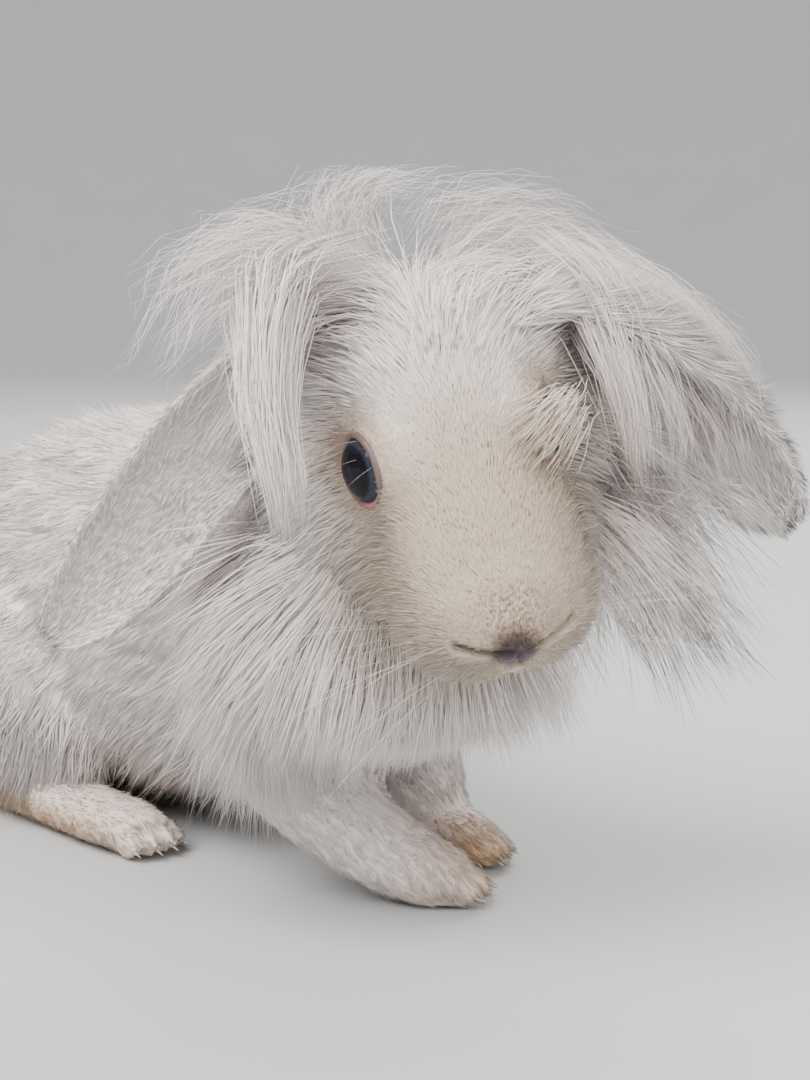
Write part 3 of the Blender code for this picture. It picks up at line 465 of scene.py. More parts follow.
def object_of(name, points, faces):
    """An object of points on rabbit axes and of faces."""
    mesh = bpy.data.meshes.new(name)
    mesh.from_pydata([tuple(p) for p in to_row(points)], [], faces)
    shape = bmesh.new()
    shape.from_mesh(mesh)
    bmesh.ops.recalc_face_normals(shape, faces=shape.faces)
    shape.to_mesh(mesh)
    shape.free()
    return linked(name, mesh)


def rings_to_object(name, rings):
    """A closed form through rings of points. A ring of one point closes its end."""
    faces, start = [], 0
    for ring, after in zip(rings, rings[1:]):
        low, high = start, start + len(ring)
        for k in range(max(len(ring), len(after))):
            if len(ring) == 1:
                faces.append((low, high + (k + 1) % len(after), high + k))
            elif len(after) == 1:
                faces.append((high, low + k, low + (k + 1) % len(ring)))
            else:
                n = (k + 1) % len(ring)
                faces.append((low + k, low + n, high + n, high + k))
        start = high
    return object_of(name, np.concatenate(rings), faces)


def finished(piece, material, slot, *nodes):
    """Gives a piece its material, sets it under the root's empty and hides the solids it stands for."""
    piece.data.materials.clear()
    piece.data.materials.append(material)
    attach(piece, "root")
    if nodes:
        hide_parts(*nodes)
    return piece


class Value:
    """A socket that Python's arithmetic works on, by adding Math nodes."""

    def __init__(self, finish, socket):
        self.finish, self.socket = finish, socket

    def _with(self, operation, first, second):
        return self.finish.add("ShaderNodeMath", {"operation": operation}, (first, second))

    def __add__(self, other):
        return self._with("ADD", self, other)

    def __rsub__(self, other):
        return self._with("SUBTRACT", other, self)

    def __mul__(self, other):
        return self._with("MULTIPLY", self, other)

    __radd__, __rmul__ = __add__, __mul__


class Finish:
    """A material under construction."""

    def __init__(self, name):
        self.material = bpy.data.materials.new(name)
        self.material.use_nodes = True
        self.tree = self.material.node_tree
        self.shader = self.tree.nodes["Principled BSDF"]

    def add(self, kind, settings=None, values=(), output=0):
        """Adds a node with its settings, and the values or links of its sockets in order or by name."""
        node = self.tree.nodes.new(kind)
        for name, value in (settings or {}).items():
            setattr(node, name, value)
        pairs = values.items() if isinstance(values, dict) else enumerate(values)
        for key, value in pairs:
            self.join(value, node.inputs[key])
        return Value(self, node.outputs[output])

    def join(self, value, socket):
        if isinstance(value, Value):
            self.tree.links.new(value.socket, socket)
        elif value is not None:
            socket.default_value = value

    def put_all(self, values):
        """Sets or links sockets of the shader."""
        for name, value in values.items():
            self.join(value, self.shader.inputs[name])

    def bump(self, strength, distance, height):
        """A way out of the surface, roughened by the height."""
        return self.add("ShaderNodeBump", None,
                        {"Strength": strength, "Distance": distance, "Height": height})

    def vector(self, operation, values, output=0):
        return self.add("ShaderNodeVectorMath", {"operation": operation}, values, output=output)

    def place(self):
        return self.add("ShaderNodeTexCoord", output="Object")

    def attribute(self, name, output="Fac"):
        return self.add("ShaderNodeAttribute", {"attribute_name": name}, output=output)

    def noise(self, place, scale, detail=3.0, roughness=0.55):
        return self.add("ShaderNodeTexNoise", None,
                        {"Vector": place, "Scale": scale, "Detail": detail, "Roughness": roughness})

    def mix(self, share, first, second, blend="MIX"):
        settings = {"data_type": "RGBA", "blend_type": blend}
        node = self.add("ShaderNodeMix", settings, {0: share}, output=2)
        sockets = node.socket.node.inputs
        for value, socket in ((first, sockets[6]), (second, sockets[7])):
            self.join((*value, 1) if isinstance(value, (tuple, list)) else value, socket)
        return node

    def smooth(self, value, low, high):
        """Nought below the low end, one above the high end, with a smooth rise between."""
        return self.add("ShaderNodeMapRange", {"interpolation_type": "SMOOTHSTEP"},
                        {"Value": value, "From Min": low, "From Max": high})

    def near(self, place, centre, inner, outer, stretch=(1, 1, 1)):
        """One within the inner radius of a place in millimetres, fading to nought at the outer one."""
        middle = tuple(float(v) for v in to_row(centre))
        off = self.vector("MULTIPLY", (self.vector("SUBTRACT", (place, middle)), stretch))
        return 1 - self.smooth(self.vector("LENGTH", (off,), "Value"), inner * MM, outer * MM)

    def spot(self, place, name):
        """One in the middle of one of the head's markings, fading to nought at its edge."""
        centre, inner, outer = SPOTS[name]
        return self.near(place, on_head(centre), inner, outer)

    def corners(self, place, inner, outer):
        """One in the front corners of both eyes, fading to nought round them."""
        return sum(self.near(place, on_head(mirrored(EYE_CORNER, side)), inner, outer)
                   for side in (1, -1))


def tint(name, share=1.0):
    """One of the rabbit's colours, darkened or lightened by the share."""
    return tuple(float(c) * share for c in getattr(colours(), name))


def markings(finish, place):
    """The coat's colour anywhere on the rabbit, the same for skin and hair, with painted shade round the
    eyes and in part on the face.
    """
    mottle = finish.noise(place, 55, 3)
    fine = finish.noise(place, 420, 2)
    speckle = finish.noise(place, 1100, 2)
    white = finish.mix(mottle, tint("white", 0.97), tint("white"))
    # The face's cream: partly its own colour, partly painted shade of the face turned down from the
    # light.
    coat = finish.mix(finish.spot(place, "face") * (0.7 + mottle * 0.25), white, tint("cream_and_shade"))
    parting = finish.spot(place, "parting") * finish.smooth(fine, 0.4, 0.7) * 0.5
    nose = finish.spot(place, "nose") * 0.35
    toe = sum(finish.near(place, centre, 10, 38) * 0.6 for centre in TOES)
    # Painted shade round the deep-set eyes, in tan.
    eye_shades = [finish.spot(place, name) * 0.5 for name in ("eye_shade_left", "eye_shade_right")]
    for stain_and_shade in (parting, nose, toe, *eye_shades):
        coat = finish.mix(stain_and_shade, coat, tint("tan"))
    bridge = finish.spot(place, "bridge") * finish.smooth(speckle, 0.38, 0.66) * 0.75
    coat = finish.mix(bridge, coat, BRIDGE_BROWN)
    coat = finish.mix(finish.spot(place, "snout") * 0.94, coat, SNOUT_DARK)
    for foot in HIND_FEET:
        coat = finish.mix(finish.near(place, foot, 16, 42, (1, 1, 2.5)) * 0.8, coat, tint("tan"))
    return coat


def coat_finish(name):
    """Hair: the coat's colour, darker at the root as painted shade among the hairs near the skin, and a
    little different in every tuft.
    """
    finish = Finish(name)
    colour = markings(finish, finish.place())
    shade = finish.attribute("shade") * 0.06 + 0.955
    # Darker towards the root: painted shade among the hairs near the skin.
    root = finish.attribute("along") * 0.04 + 0.965
    tuft_tone_and_root_shade = finish.add("ShaderNodeCombineColor", None, (shade * root, shade * root, shade * root))
    finish.put_all({"Base Color": finish.mix(1.0, colour, tuft_tone_and_root_shade, "MULTIPLY"), "Roughness": 0.62,
                    "Specular IOR Level": 0.25})
    lie = finish.attribute("lie_normal", "Vector")
    own = finish.add("ShaderNodeNewGeometry", output="Normal")
    share = finish.smooth(finish.vector("DOT_PRODUCT", (own, lie), "Value"), -0.4, 0.3) * 0.88
    mixed = finish.add("ShaderNodeMix", {"data_type": "VECTOR"}, {0: share}, output=1)
    finish.join(own, mixed.socket.node.inputs[4])
    finish.join(lie, mixed.socket.node.inputs[5])
    finish.put_all({"Normal": finish.vector("NORMALIZE", (mixed,))})
    return finish.material


def skin_finish():
    """Skin under the coat: the same markings darkened as painted shade of the hair above, with a fine
    nap; bare on nose and lids, with a dark lip, darker lid edges, pink eye corners and painted shadow in
    nostrils, cleft and mouth.
    """
    finish = Finish("rabbit_skin")
    place = finish.place()
    coat = markings(finish, place)
    lip = finish.spot(place, "lip")
    # The markings darkened by painted shade of the hair above, then the dark lip.
    colour = finish.mix(lip * 0.96, finish.mix(1.0, coat, UNDER_COAT_SHADE, "MULTIPLY"), LIP_DARK)
    colour = finish.mix(finish.attribute("lid") * 0.8, colour, LID_SHADE)
    colour = finish.mix(finish.corners(place, 0.8, 2.8) * 0.85, colour, tint("skin"))
    # Painted shadow in the nostrils, cleft and mouth.
    colour = finish.mix(finish.attribute("crease") * 0.97, colour, CREASE_SHADOW)
    finish.put_all({"Base Color": colour, "Roughness": 0.62 - lip * 0.2, "Specular IOR Level": 0.25,
                    "Normal": finish.bump(0.25, 0.0005, finish.noise(place, 1500, 4))})
    return finish.material


def eye_finish(name, centre, out):
    """A dark pupil in a slate blue ring with a pale thread of white at its rim, under a wet gloss."""
    finish = Finish(name)
    place = finish.place()
    front = to_row(centre + out * EYE_RADIUS * HEAD_SCALE)
    off = finish.vector("DISTANCE", (place, tuple(front)), "Value")
    streak = finish.noise(place, 900, 4)
    iris = finish.smooth(off, 6.2 * MM, 7.4 * MM)
    rim = finish.smooth(off, 9.4 * MM, 10.6 * MM)
    ring = finish.mix(streak, tint("iris", 0.45), tint("iris", 1.5))
    colour = finish.mix(rim, finish.mix(iris, PUPIL_BLACK, ring), RIM_PALE)
    finish.put_all({"Base Color": colour, "Roughness": 0.3, "Specular IOR Level": 0.0,
                    "Coat Weight": 0.5, "Coat IOR": 1.34, "Coat Roughness": 0.02})
    return finish.material


def lid_finish(name):
    """Thin damp skin of the lids, pink in the corners."""
    finish = Finish(name)
    place = finish.place()
    grain = finish.noise(place, 1300, 3)
    colour = finish.mix(finish.corners(place, 1, 5), finish.mix(grain, LID_DARK, LID_PALE), tint("skin"))
    finish.put_all({"Base Color": colour, "Roughness": 0.42, "Normal": finish.bump(0.3, 0.0003, grain)})
    return finish.material


def claw_finish():
    """Horn with a faint grain, darker in patches."""
    finish = Finish("claw_horn")
    grain = finish.noise(finish.place(), 700, 3)
    finish.put_all({"Base Color": finish.mix(grain, tint("claw", 0.8), tint("claw")), "Roughness": 0.35})
    return finish.material


def floor_finish():
    """A plain pale floor with a faint unevenness."""
    finish = Finish("pale_floor")
    cloud = finish.noise(finish.place(), 6, 3)
    finish.put_all({"Base Color": finish.mix(cloud, FLOOR_DARK, FLOOR_PALE), "Roughness": 0.8})
    return finish.material


def head_core():
    """The skull with its flesh, without hair, repeated from the solids."""
    stations = np.array([(a * HEAD_LENGTH, half * HEAD_WIDTH, top * HEAD_HEIGHT, low * HEAD_HEIGHT)
                         for a, half, top, low in HEAD_STATIONS])
    middle = (stations[:, 2] + stations[:, 3]) / 2
    path = np.stack((stations[:, 0], middle * 0, middle), axis=1)
    run = distances_along(path)
    share = np.linspace(0, 1, 60)
    at = run[-1] * (0.4 * share + 0.6 * (1 - np.cos(math.pi * share)) / 2)
    centres = flowing_points(run, path, at)
    half = np.sqrt(np.maximum(flowing(run, stations[:, 1] ** 2, at), 0))
    tall = np.sqrt(np.maximum(flowing(run, ((stations[:, 2] - stations[:, 3]) / 2) ** 2, at), 0))
    turns = np.linspace(0, 2 * math.pi, 64, endpoint=False)
    power = 2 / 2.25
    wide = np.sign(np.cos(turns)) * np.abs(np.cos(turns)) ** power
    high = np.sign(np.sin(turns)) * np.abs(np.sin(turns)) ** power
    rings = []
    for i, centre in enumerate(centres):
        if i in (0, len(centres) - 1):
            rings.append(centre[None])
            continue
        rings.append(centre + np.stack((wide * 0, wide * half[i], high * tall[i]), axis=1))
    for ring in rings:
        moved = np.zeros_like(ring)
        for place, way, height, spread in HEAD_SHAPING:
            for side in (1, -1):
                off = ((ring - mirrored(place, side)) ** 2).sum(1)
                moved += unit(mirrored(way, side)) * (height * np.exp(-off / (2 * spread**2)))[:, None]
        ring += moved
    return rings_to_object("head_core", [on_head(ring) for ring in rings])


def ear_core(name, stations, rings=40, arc_steps=24):
    """A lop ear: a leaf rolled into a cup, repeated from the solids."""
    middle = np.array([s[0] for s in stations], float)
    run = distances_along(middle)
    share = np.linspace(0, 1, rings)
    at = run[-1] * (0.75 * share + 0.25 * np.sin(share * math.pi / 2))
    points = flowing_points(run, middle, at)
    mouths = flowing_points(run, [s[1] for s in stations], at)
    half = flowing(run, [s[2] for s in stations], at)
    deep = flowing(run, [s[3] for s in stations], at)
    turns = np.linspace(-EAR_ROLL, EAR_ROLL, arc_steps + 1)
    found = []
    for i in range(rings):
        along = unit(points[min(i + 1, rings - 1)] - points[max(i - 1, 0)])
        mouth = unit(mouths[i] - along * mouths[i].dot(along))
        across = np.cross(along, mouth)
        wall = min(EAR_THICKNESS, 0.6 * deep[i])
        ring = []
        for inset, way in ((0.0, turns), (wall, turns[::-1])):
            less = inset * (1 - 0.35 * np.abs(way / EAR_ROLL) ** 4)
            ring.append(points[i] + across * (np.sin(way) * (half[i] - less))[:, None]
                        - mouth * (np.cos(way) * (deep[i] - less))[:, None])
        found.append(np.concatenate(ring))
    found[0] = found[0].mean(0)[None]
    found[-1] = found[-1].mean(0)[None] + (points[-1] - points[-2]) * 0.4
    return rings_to_object(name, found)


def eye_axes(side):
    """The eye's centre and the ways out of it, along the lids towards the nose and across them."""
    centre, out = mirrored(EYE_PLACE, side), unit(mirrored(EYE_FACING, side))
    forward = np.array((1, 0, -0.28))
    forward = unit(forward - out * forward.dot(out))
    return centre, out, forward, np.cross(forward, out) * -side


def lid_share(head, side):
    """Nought in the middle of the lids' opening, one on its edge and more outside it."""
    centre, out, forward, up = eye_axes(side)
    way = unit(head - centre)
    turn = np.arccos(np.clip(way @ out, -1, 1))
    flat = unit(way - (way @ out)[:, None] * out)
    long_way, high_way = turn * (flat @ forward) / LID_LONG, turn * (flat @ up) / LID_HIGH
    return np.abs(long_way) ** (2 / LID_ROUND_LONG) + np.abs(high_way) ** (2 / LID_ROUND_HIGH)


def lid_ring(side, thick=1.5):
    """The lids as one almond roll on the eyeball, its corners towards the nose and the ear."""
    centre, out, forward, up = eye_axes(side)
    points = []
    for turn in np.linspace(0, 2 * math.pi, 40, endpoint=False):
        long_way = LID_LONG * math.copysign(abs(math.cos(turn)) ** LID_ROUND_LONG, math.cos(turn))
        high_way = LID_HIGH * math.copysign(abs(math.sin(turn)) ** LID_ROUND_HIGH, math.sin(turn))
        reach = math.hypot(long_way, high_way)
        flat = (forward * long_way + up * high_way) / reach
        points.append(centre + (out * math.cos(reach) + flat * math.sin(reach)) * (EYE_RADIUS + 0.4))
    corners, faces, sides = [], [], 10
    for i, point in enumerate(points):
        along = unit(points[(i + 1) % 40] - points[i - 1])
        across = unit(np.cross(along, out))
        rise = np.cross(across, along)
        for k in range(sides):
            turn = 2 * math.pi * k / sides
            corners.append(point + (across * math.cos(turn) + rise * math.sin(turn)) * thick)
            low, high, n = i * sides, (i + 1) % 40 * sides, (k + 1) % sides
            faces.append((low + k, low + n, high + n, high + k))
    return object_of("lids", on_head(np.array(corners)), faces)


def read(items, name, width, kind=float):
    """One property of all the items, as rows of this width."""
    found = np.empty(len(items) * width, kind)
    items.foreach_get(name, found)
    return found.reshape(-1, width)


def points_of(piece):
    """The piece's points on rabbit axes."""
    return from_row(read(piece.data.vertices, "co", 3))


def move_points(piece, points):
    piece.data.vertices.foreach_set("co", to_row(points).ravel())
    piece.data.update()


def tree_of(piece):
    """A search tree of the piece's surface, on rabbit axes."""
    faces = [tuple(face.vertices) for face in piece.data.polygons]
    return BVHTree.FromPolygons([tuple(p) for p in points_of(piece)], faces)


def near_segments(points, line):
    """Distance of every point from a line of points."""
    best = np.full(len(points), 1e9)
    for start, end in zip(line, line[1:]):
        way = end - start
        share = np.clip((points - start) @ way / (way @ way), 0, 1)
        best = np.minimum(best, np.linalg.norm(points - start - share[:, None] * way, axis=1))
    return best


def vertex_normals(piece):
    return unit(read(piece.data.vertices, "normal", 3))


def write_shares(mesh, name, values):
    """Keeps one number for each point of the mesh, for its material."""
    mesh.attributes.new(name, "FLOAT", "POINT").data.foreach_set("value", values)


def smoothed(piece, values, times):
    """Values at the piece's points, evened out along its edges."""
    edges = read(piece.data.edges, "vertices", 2, np.int64)
    first, second = edges.T
    count = np.maximum(np.bincount(edges.ravel(), minlength=len(values)), 1)[:, None]
    for _ in range(times):
        total = np.stack([np.bincount(first, column[second], len(column))
                          + np.bincount(second, column[first], len(column))
                          for column in values.T], axis=1)
        values = (values + total / count) / 2
    return values


def coat_depth(points):
    """How far the skin lies under the coat's tips, in millimetres."""
    head = from_head(points)
    depth = np.full(len(points), 3.2)
    depth += (2.0 - depth) * smooth_step(1.35, 1.1, ruff_share(points))
    depth += (1.3 - depth) * smooth_step(62, 46, far_from(head, (8, 0, 0)))
    depth += (0.6 - depth) * smooth_step(24, 8, far_from(head, NOSE_PLACE))
    for stations in (RIGHT_EAR, LEFT_EAR):
        off = near_segments(points, np.array([s[0] for s in stations], float))
        depth += (0.7 - depth) * smooth_step(24, 18, off) * (points[:, 2] > 60)
    for side in (1, -1):
        eye = far_from(head, mirrored(EYE_PLACE, side))
        depth += (0.3 - depth) * smooth_step(EYE_RADIUS + 7, EYE_RADIUS + 3, eye)
    low = smooth_step(34, 14, points[:, 2])
    return depth + (1.3 - depth) * low


def blended_guides(points, guides, spread):
    """Ways, lengths and falls at the points from guides, the nearer the stronger."""
    places = np.array([g[0] for g in guides], float)
    values = np.array([(*unit(g[1]), g[2], g[3]) for g in guides], float)
    off = ((points[:, None, :] - places[None]) ** 2).sum(2)
    weight = np.exp(-off / (2 * spread**2)) + 1e-4 / (1 + off) ** 2
    return weight @ values / weight.sum(1, keepdims=True)


def both_sides(guides):
    """Guides of the left side with their mirror images on the right."""
    right = [(mirrored(place, -1), mirrored(way, -1), length, fall)
             for place, way, length, fall in guides if place[1]]
    return list(guides) + right


def ear_ways(points, stations):
    """The way from the ear's root to its tip at each point."""
    line = np.array([s[0] for s in stations], float)
    middles = (line[1:] + line[:-1]) / 2
    off = ((points[:, None, :] - middles[None]) ** 2).sum(2)
    return unit((np.exp(-off / (2 * 14.0**2)) + 1e-9) @ unit(np.diff(line, axis=0)))


def region_groom(region, points, normals):
    """Way, length, fall and lift of the hair at these points, as if all of them were in this region."""
    n = len(points)
    way, length = np.tile((-1.0, 0, -0.2), (n, 1)), np.full(n, 11.0)
    fall, lift = np.full(n, 0.05), np.full(n, 0.17)
    if region == "head":
        guides = both_sides(FACE_GUIDES + FORELOCK_GUIDES) + list(LEFT_GUIDES) + list(RIGHT_GUIDES)
        found = blended_guides(from_head(points), guides, 6.0)
        way = found[:, :3] @ HEAD_TURN.T
        length, fall = found[:, 3] * sizes().head_hair, found[:, 4]
        lift = 0.17 + 0.1 * smooth_step(5, 9, length) + 0.15 * smooth_step(9, 40, length)
    elif region == "mane":
        top = np.maximum(normals[:, 2], 0)
        way = np.stack((-0.35 - 1.1 * top, 0.35 * normals[:, 1], -1 + 0.9 * top), axis=1)
        fan = smooth_step(0.3, 0.8, normals[:, 1]) * smooth_step(-0.5, 0.2, normals[:, 0])
        way += fan[:, None] * np.array((0.7, 0.9, 0.3))
        front = smooth_step(76, 100, points[:, 0])
        length = np.minimum(sizes().mane_hair / MM * (1 - 0.25 * top), points[:, 2] - 24 - 24 * front)
        length = np.maximum(length, 12)
        fall, lift = np.full(n, 0.25), np.full(n, 0.3)
    elif region in ("ear_r", "ear_l"):
        way = ear_ways(points, RIGHT_EAR if region == "ear_r" else LEFT_EAR)
        length, fall, lift = np.full(n, 4.2), np.full(n, 0.0), np.full(n, 0.16)
        if region == "ear_l":
            wool = smooth_step(182, 160, points[:, 0])
            rim = smooth_step(0.2, 0.8, normals @ unit((-0.6, 0.2, 0.75)))
            rim *= smooth_step(132, 145, points[:, 0])
            length, lift = length + 8 * wool + 6 * rim, lift + 0.15 * wool + 0.3 * rim
    elif region == "haunch":
        low = smooth_step(58, 36, points[:, 2])
        way = np.stack((-0.85 + 0.7 * low, np.zeros(n), -0.55 - 0.4 * low), axis=1)
        length, lift = length + 14 * low, lift + 0.12 * low
    elif region == "tail":
        way, length, lift = np.tile((-0.6, 0, -0.9), (n, 1)), np.full(n, 16.0), np.full(n, 0.35)
    elif region == "foreleg":
        way, length, lift = np.tile((0.75, 0.2, -0.6), (n, 1)), np.full(n, 4.6), np.full(n, 0.16)
    elif region == "hindfoot":
        way, length, lift = np.tile((1.0, 0, -0.1), (n, 1)), np.full(n, 3.8), np.full(n, 0.16)
    else:
        flank = smooth_step(0.8, -0.4, normals[:, 2])
        way = np.stack((-np.ones(n), np.zeros(n), -0.1 - 0.8 * flank), axis=1)
        low = smooth_step(48, 28, points[:, 2]) * smooth_step(0.5, 0.1, np.abs(normals[:, 0]))
        longer = 1 + 0.25 * smooth_step(30, 75, points[:, 0])
        length = np.full(n, sizes().body_hair / MM) * longer + 12 * low
    return np.column_stack((unit(way - normals * (way * normals).sum(1)[:, None]), length, fall, lift))


# The finished skin's points, normals, faces and the lie of its hair, set by groom_skin.
groomed = {}


def region_shares(skin, points, trees):
    """For every point of the skin how much it belongs to each region, blended where they meet."""
    nearest = np.full((len(points), len(REGIONS)), 9.0)
    for name, tree in trees.items():
        column = REGIONS.index(REGION_OF[name])
        for row, point in enumerate(points):
            distance = tree.find_nearest(point, 5)[3]
            if distance is not None:
                nearest[row, column] = min(nearest[row, column], distance)
    shares = np.zeros_like(nearest)
    shares[np.arange(len(points)), nearest.argmin(1)] = 1
    return smoothed(skin, shares, 10)


def slit_lines():
    """Middle lines of cleft, nostrils and mouth, on head axes, each with its width and depth."""
    found = [(np.array(CLEFT), 0.7, 1.3)]
    for side in (1, -1):
        found.append((np.array([mirrored(p, side) for p in NOSTRIL]), 1.3, 2.7))
        found.append((np.array([mirrored(p, side) for p in MOUTH]), 0.8, 1.3))
    return found


def sculpt_muzzle(skin, core):
    """Gives the muzzle finer faces, sets them on the core and presses in nostrils, cleft and mouth."""
    head = from_head(points_of(skin))
    near = muzzle_share(head) < 1
    edited(skin, bpy.ops.mesh.select_mode, type="VERT")
    edited(skin, bpy.ops.mesh.select_all, action="DESELECT")
    skin.data.vertices.foreach_set("select", near)
    edited(skin, bpy.ops.mesh.subdivide, number_cuts=2)
    points = points_of(skin)
    off = muzzle_share(from_head(points))
    rows = np.flatnonzero(off < 1.1)
    hold = smooth_step(1.05, 0.8, off[rows])
    for row, share in zip(rows, hold):
        place, normal, _, _ = core.find_nearest(points[row], 8)
        if place is not None:
            points[row] += (np.array(place - normal * 0.5) - points[row]) * share
    move_points(skin, points)
    normals = vertex_normals(skin)[rows]
    head = from_head(points[rows])
    moved = np.zeros(len(rows))
    # How much painted shadow lies in the nostrils, cleft and mouth, kept for the skin's material.
    crease = np.zeros(len(points))
    for line, width, deep in slit_lines():
        core_line = np.array([from_head(core.find_nearest(on_head(p))[0]) for p in line])
        away = near_segments(head, core_line)
        moved -= deep * np.exp(-(away / width) ** 2)
        moved += 0.3 * np.exp(-((away - 2.2) / 1.0) ** 2)
        crease[rows] = np.maximum(crease[rows], np.exp(-(away / (width * 1.15)) ** 2))
    write_shares(skin.data, "crease", crease)
    points[rows] += normals * moved[:, None]
    move_points(skin, points)


def open_lids(skin):
    """Sinks the skin below the eyeball inside the lids and lets it cover the eyeball outside them."""
    points = points_of(skin)
    head = from_head(points)
    lid = np.zeros(len(points))
    for side in (1, -1):
        centre = mirrored(EYE_PLACE, side)
        off = head - centre
        far = np.linalg.norm(off, axis=1)
        near = np.flatnonzero(far < 24)
        edge = lid_share(head[near], side)
        inside = smooth_step(1.05, 0.75, edge) * smooth_step(24, 19, far[near])
        flat = 1 - 0.7 * smooth_step(2.6, 1.0, edge) * smooth_step(24, 14, far[near])
        over = far[near] - EYE_RADIUS - 0.5
        cover = EYE_RADIUS + 0.5 + np.logaddexp(0, over * 1.5) / 1.5 * flat
        goal = cover + (np.minimum(far[near], EYE_RADIUS - 1.2) - cover) * inside
        head[near] = centre + off[near] / far[near, None] * goal[:, None]
        lid[near] = np.maximum(lid[near], smooth_step(1.3, 1.0, edge))
    move_points(skin, on_head(head))
    write_shares(skin.data, "lid", lid)


def build_skin():
    """One skin over the whole body, from the solids' forms, let in by the coat's depth."""
    pieces = [head_core(), lid_ring(1), lid_ring(-1), ear_core("ear_r", RIGHT_EAR),
              ear_core("ear_l", LEFT_EAR)]
    ruff = primitive("uv_sphere", segments=48, ring_count=32, radius=1, location=to_row(RUFF_CENTRE))
    ruff.name, ruff.scale = "ruff_form", RUFF_RADII * MM
    pieces.append(settled(ruff))
    for name in BODY_NODES:
        copy = linked(name + "_form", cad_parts[name].data.copy())
        edited(copy, bpy.ops.mesh.select_all, action="SELECT")
        edited(copy, bpy.ops.mesh.remove_doubles, threshold=0.00001)
        pieces.append(copy)
    trees = {piece.name: tree_of(piece) for piece in pieces}
    skin = joined(pieces, "skin")
    remesh = skin.modifiers.new("one_skin", "REMESH")
    remesh.mode, remesh.voxel_size = "VOXEL", sizes().skin_grain
    even = skin.modifiers.new("even", "SMOOTH")
    even.factor, even.iterations = 0.5, 4
    settled(skin)
    points = points_of(skin)
    depth = smoothed(skin, coat_depth(points)[:, None], 12)[:, 0]
    shares = region_shares(skin, points, trees)
    moved = smoothed(skin, points - vertex_normals(skin) * depth[:, None], 1)
    moved[:, 2] = np.maximum(moved[:, 2], 0.6)
    move_points(skin, moved)
    sculpt_muzzle(skin, trees["head_core"])
    open_lids(skin)
    skin.data.shade_smooth()
    groom_skin(skin, shares)
    return skin


def groom_skin(skin, shares):
    """Works out how the coat lies at every point of the finished skin, and keeps it for the coats.

    The points that the muzzle gained after the shares were measured belong to the head.
    """
    points, normals = points_of(skin), vertex_normals(skin)
    head_only = np.zeros((len(points) - len(shares), len(REGIONS)))
    head_only[:, REGIONS.index("head")] = 1
    shares = np.concatenate((shares, head_only))
    total = np.zeros((len(points), 6))
    for column, region in enumerate(REGIONS):
        rows = np.flatnonzero(shares[:, column] > 0.001)
        if len(rows):
            total[rows] += region_groom(region, points[rows], normals[rows]) * shares[rows, column, None]
    total = smoothed(skin, total, 6)
    skin.data.calc_loop_triangles()
    corners = read(skin.data.loop_triangles, "vertices", 3, np.int64)
    a, b, c = (points[corners[:, i]] for i in range(3))
    groomed.update(points=points, normals=smoothed(skin, normals, 4), shares=shares, groom=total,
                   corners=corners, area=np.linalg.norm(np.cross(b - a, c - a), axis=1) / 2,
                   tree=BVHTree.FromPolygons([tuple(p) for p in points], corners.tolist()))


def head_axis():
    """The axis that the unwraps of the head's hair run round, from the nape to the nose."""
    return on_head((-60, 0, 0)), on_head((60, 0, 0))


def share_of(*names):
    """How much every point of the skin belongs to these regions."""
    return sum(groomed["shares"][:, REGIONS.index(name)] for name in names)


def sown(weight, count, rng):
    """Roots scattered over the skin where the weight is, with how their hair lies."""
    corners = groomed["corners"]
    chance = weight[corners].mean(1) * groomed["area"]
    face = rng.choice(len(corners), count, p=chance / chance.sum())
    one, two = rng.random(count), rng.random(count)
    fold = one + two > 1
    one[fold], two[fold] = 1 - one[fold], 1 - two[fold]
    bary = np.stack((1 - one - two, one, two), axis=1)[:, :, None]
    took = {key: (groomed[key][corners[face]] * bary).sum(1) for key in ("points", "normals", "groom")}
    normals = unit(took["normals"])
    way = took["groom"][:, :3]
    way = unit(way - normals * (way * normals).sum(1)[:, None])
    return took["points"], normals, way, took["groom"][:, 3], took["groom"][:, 4], took["groom"][:, 5]


def drift(points, wavelength, seed):
    """Smooth wandering directions through space, the same for neighbours."""
    rng = np.random.default_rng(seed)
    total = np.zeros((len(points), 3))
    for scale in (1.0, 1.0, 0.55, 0.55, 0.3):
        turn = rng.normal(size=(3, 3)) / (wavelength * scale) * 3.6
        total += np.sin(points @ turn + rng.uniform(0, 6.28, 3)) * scale**0.5
    return total / 2.2


def pushed_out(points, outward, clearance, reach=14.0):
    """Points kept at least the clearance off the skin and the eyes, with the way out at each."""
    tree = groomed["tree"]
    for i, point in enumerate(points):
        place, normal, _, distance = tree.find_nearest(point, reach)
        if place is None:
            continue
        off = Vector(point) - place
        height = off.dot(normal)
        if height < clearance[i]:
            points[i] = place + normal * clearance[i]
            outward[i] = normal
        elif distance > 1e-6:
            outward[i] = off / distance
    for side in (1, -1):
        centre = on_head(mirrored(EYE_PLACE, side))
        off = points - centre
        far = np.linalg.norm(off, axis=1)
        inside = far < EYE_RADIUS * HEAD_SCALE + 1.0
        points[inside] = centre + off[inside] / far[inside, None] * (EYE_RADIUS * HEAD_SCALE + 1.0)
    points[:, 2] = np.maximum(points[:, 2], FLOOR_GAP)
    return points, outward


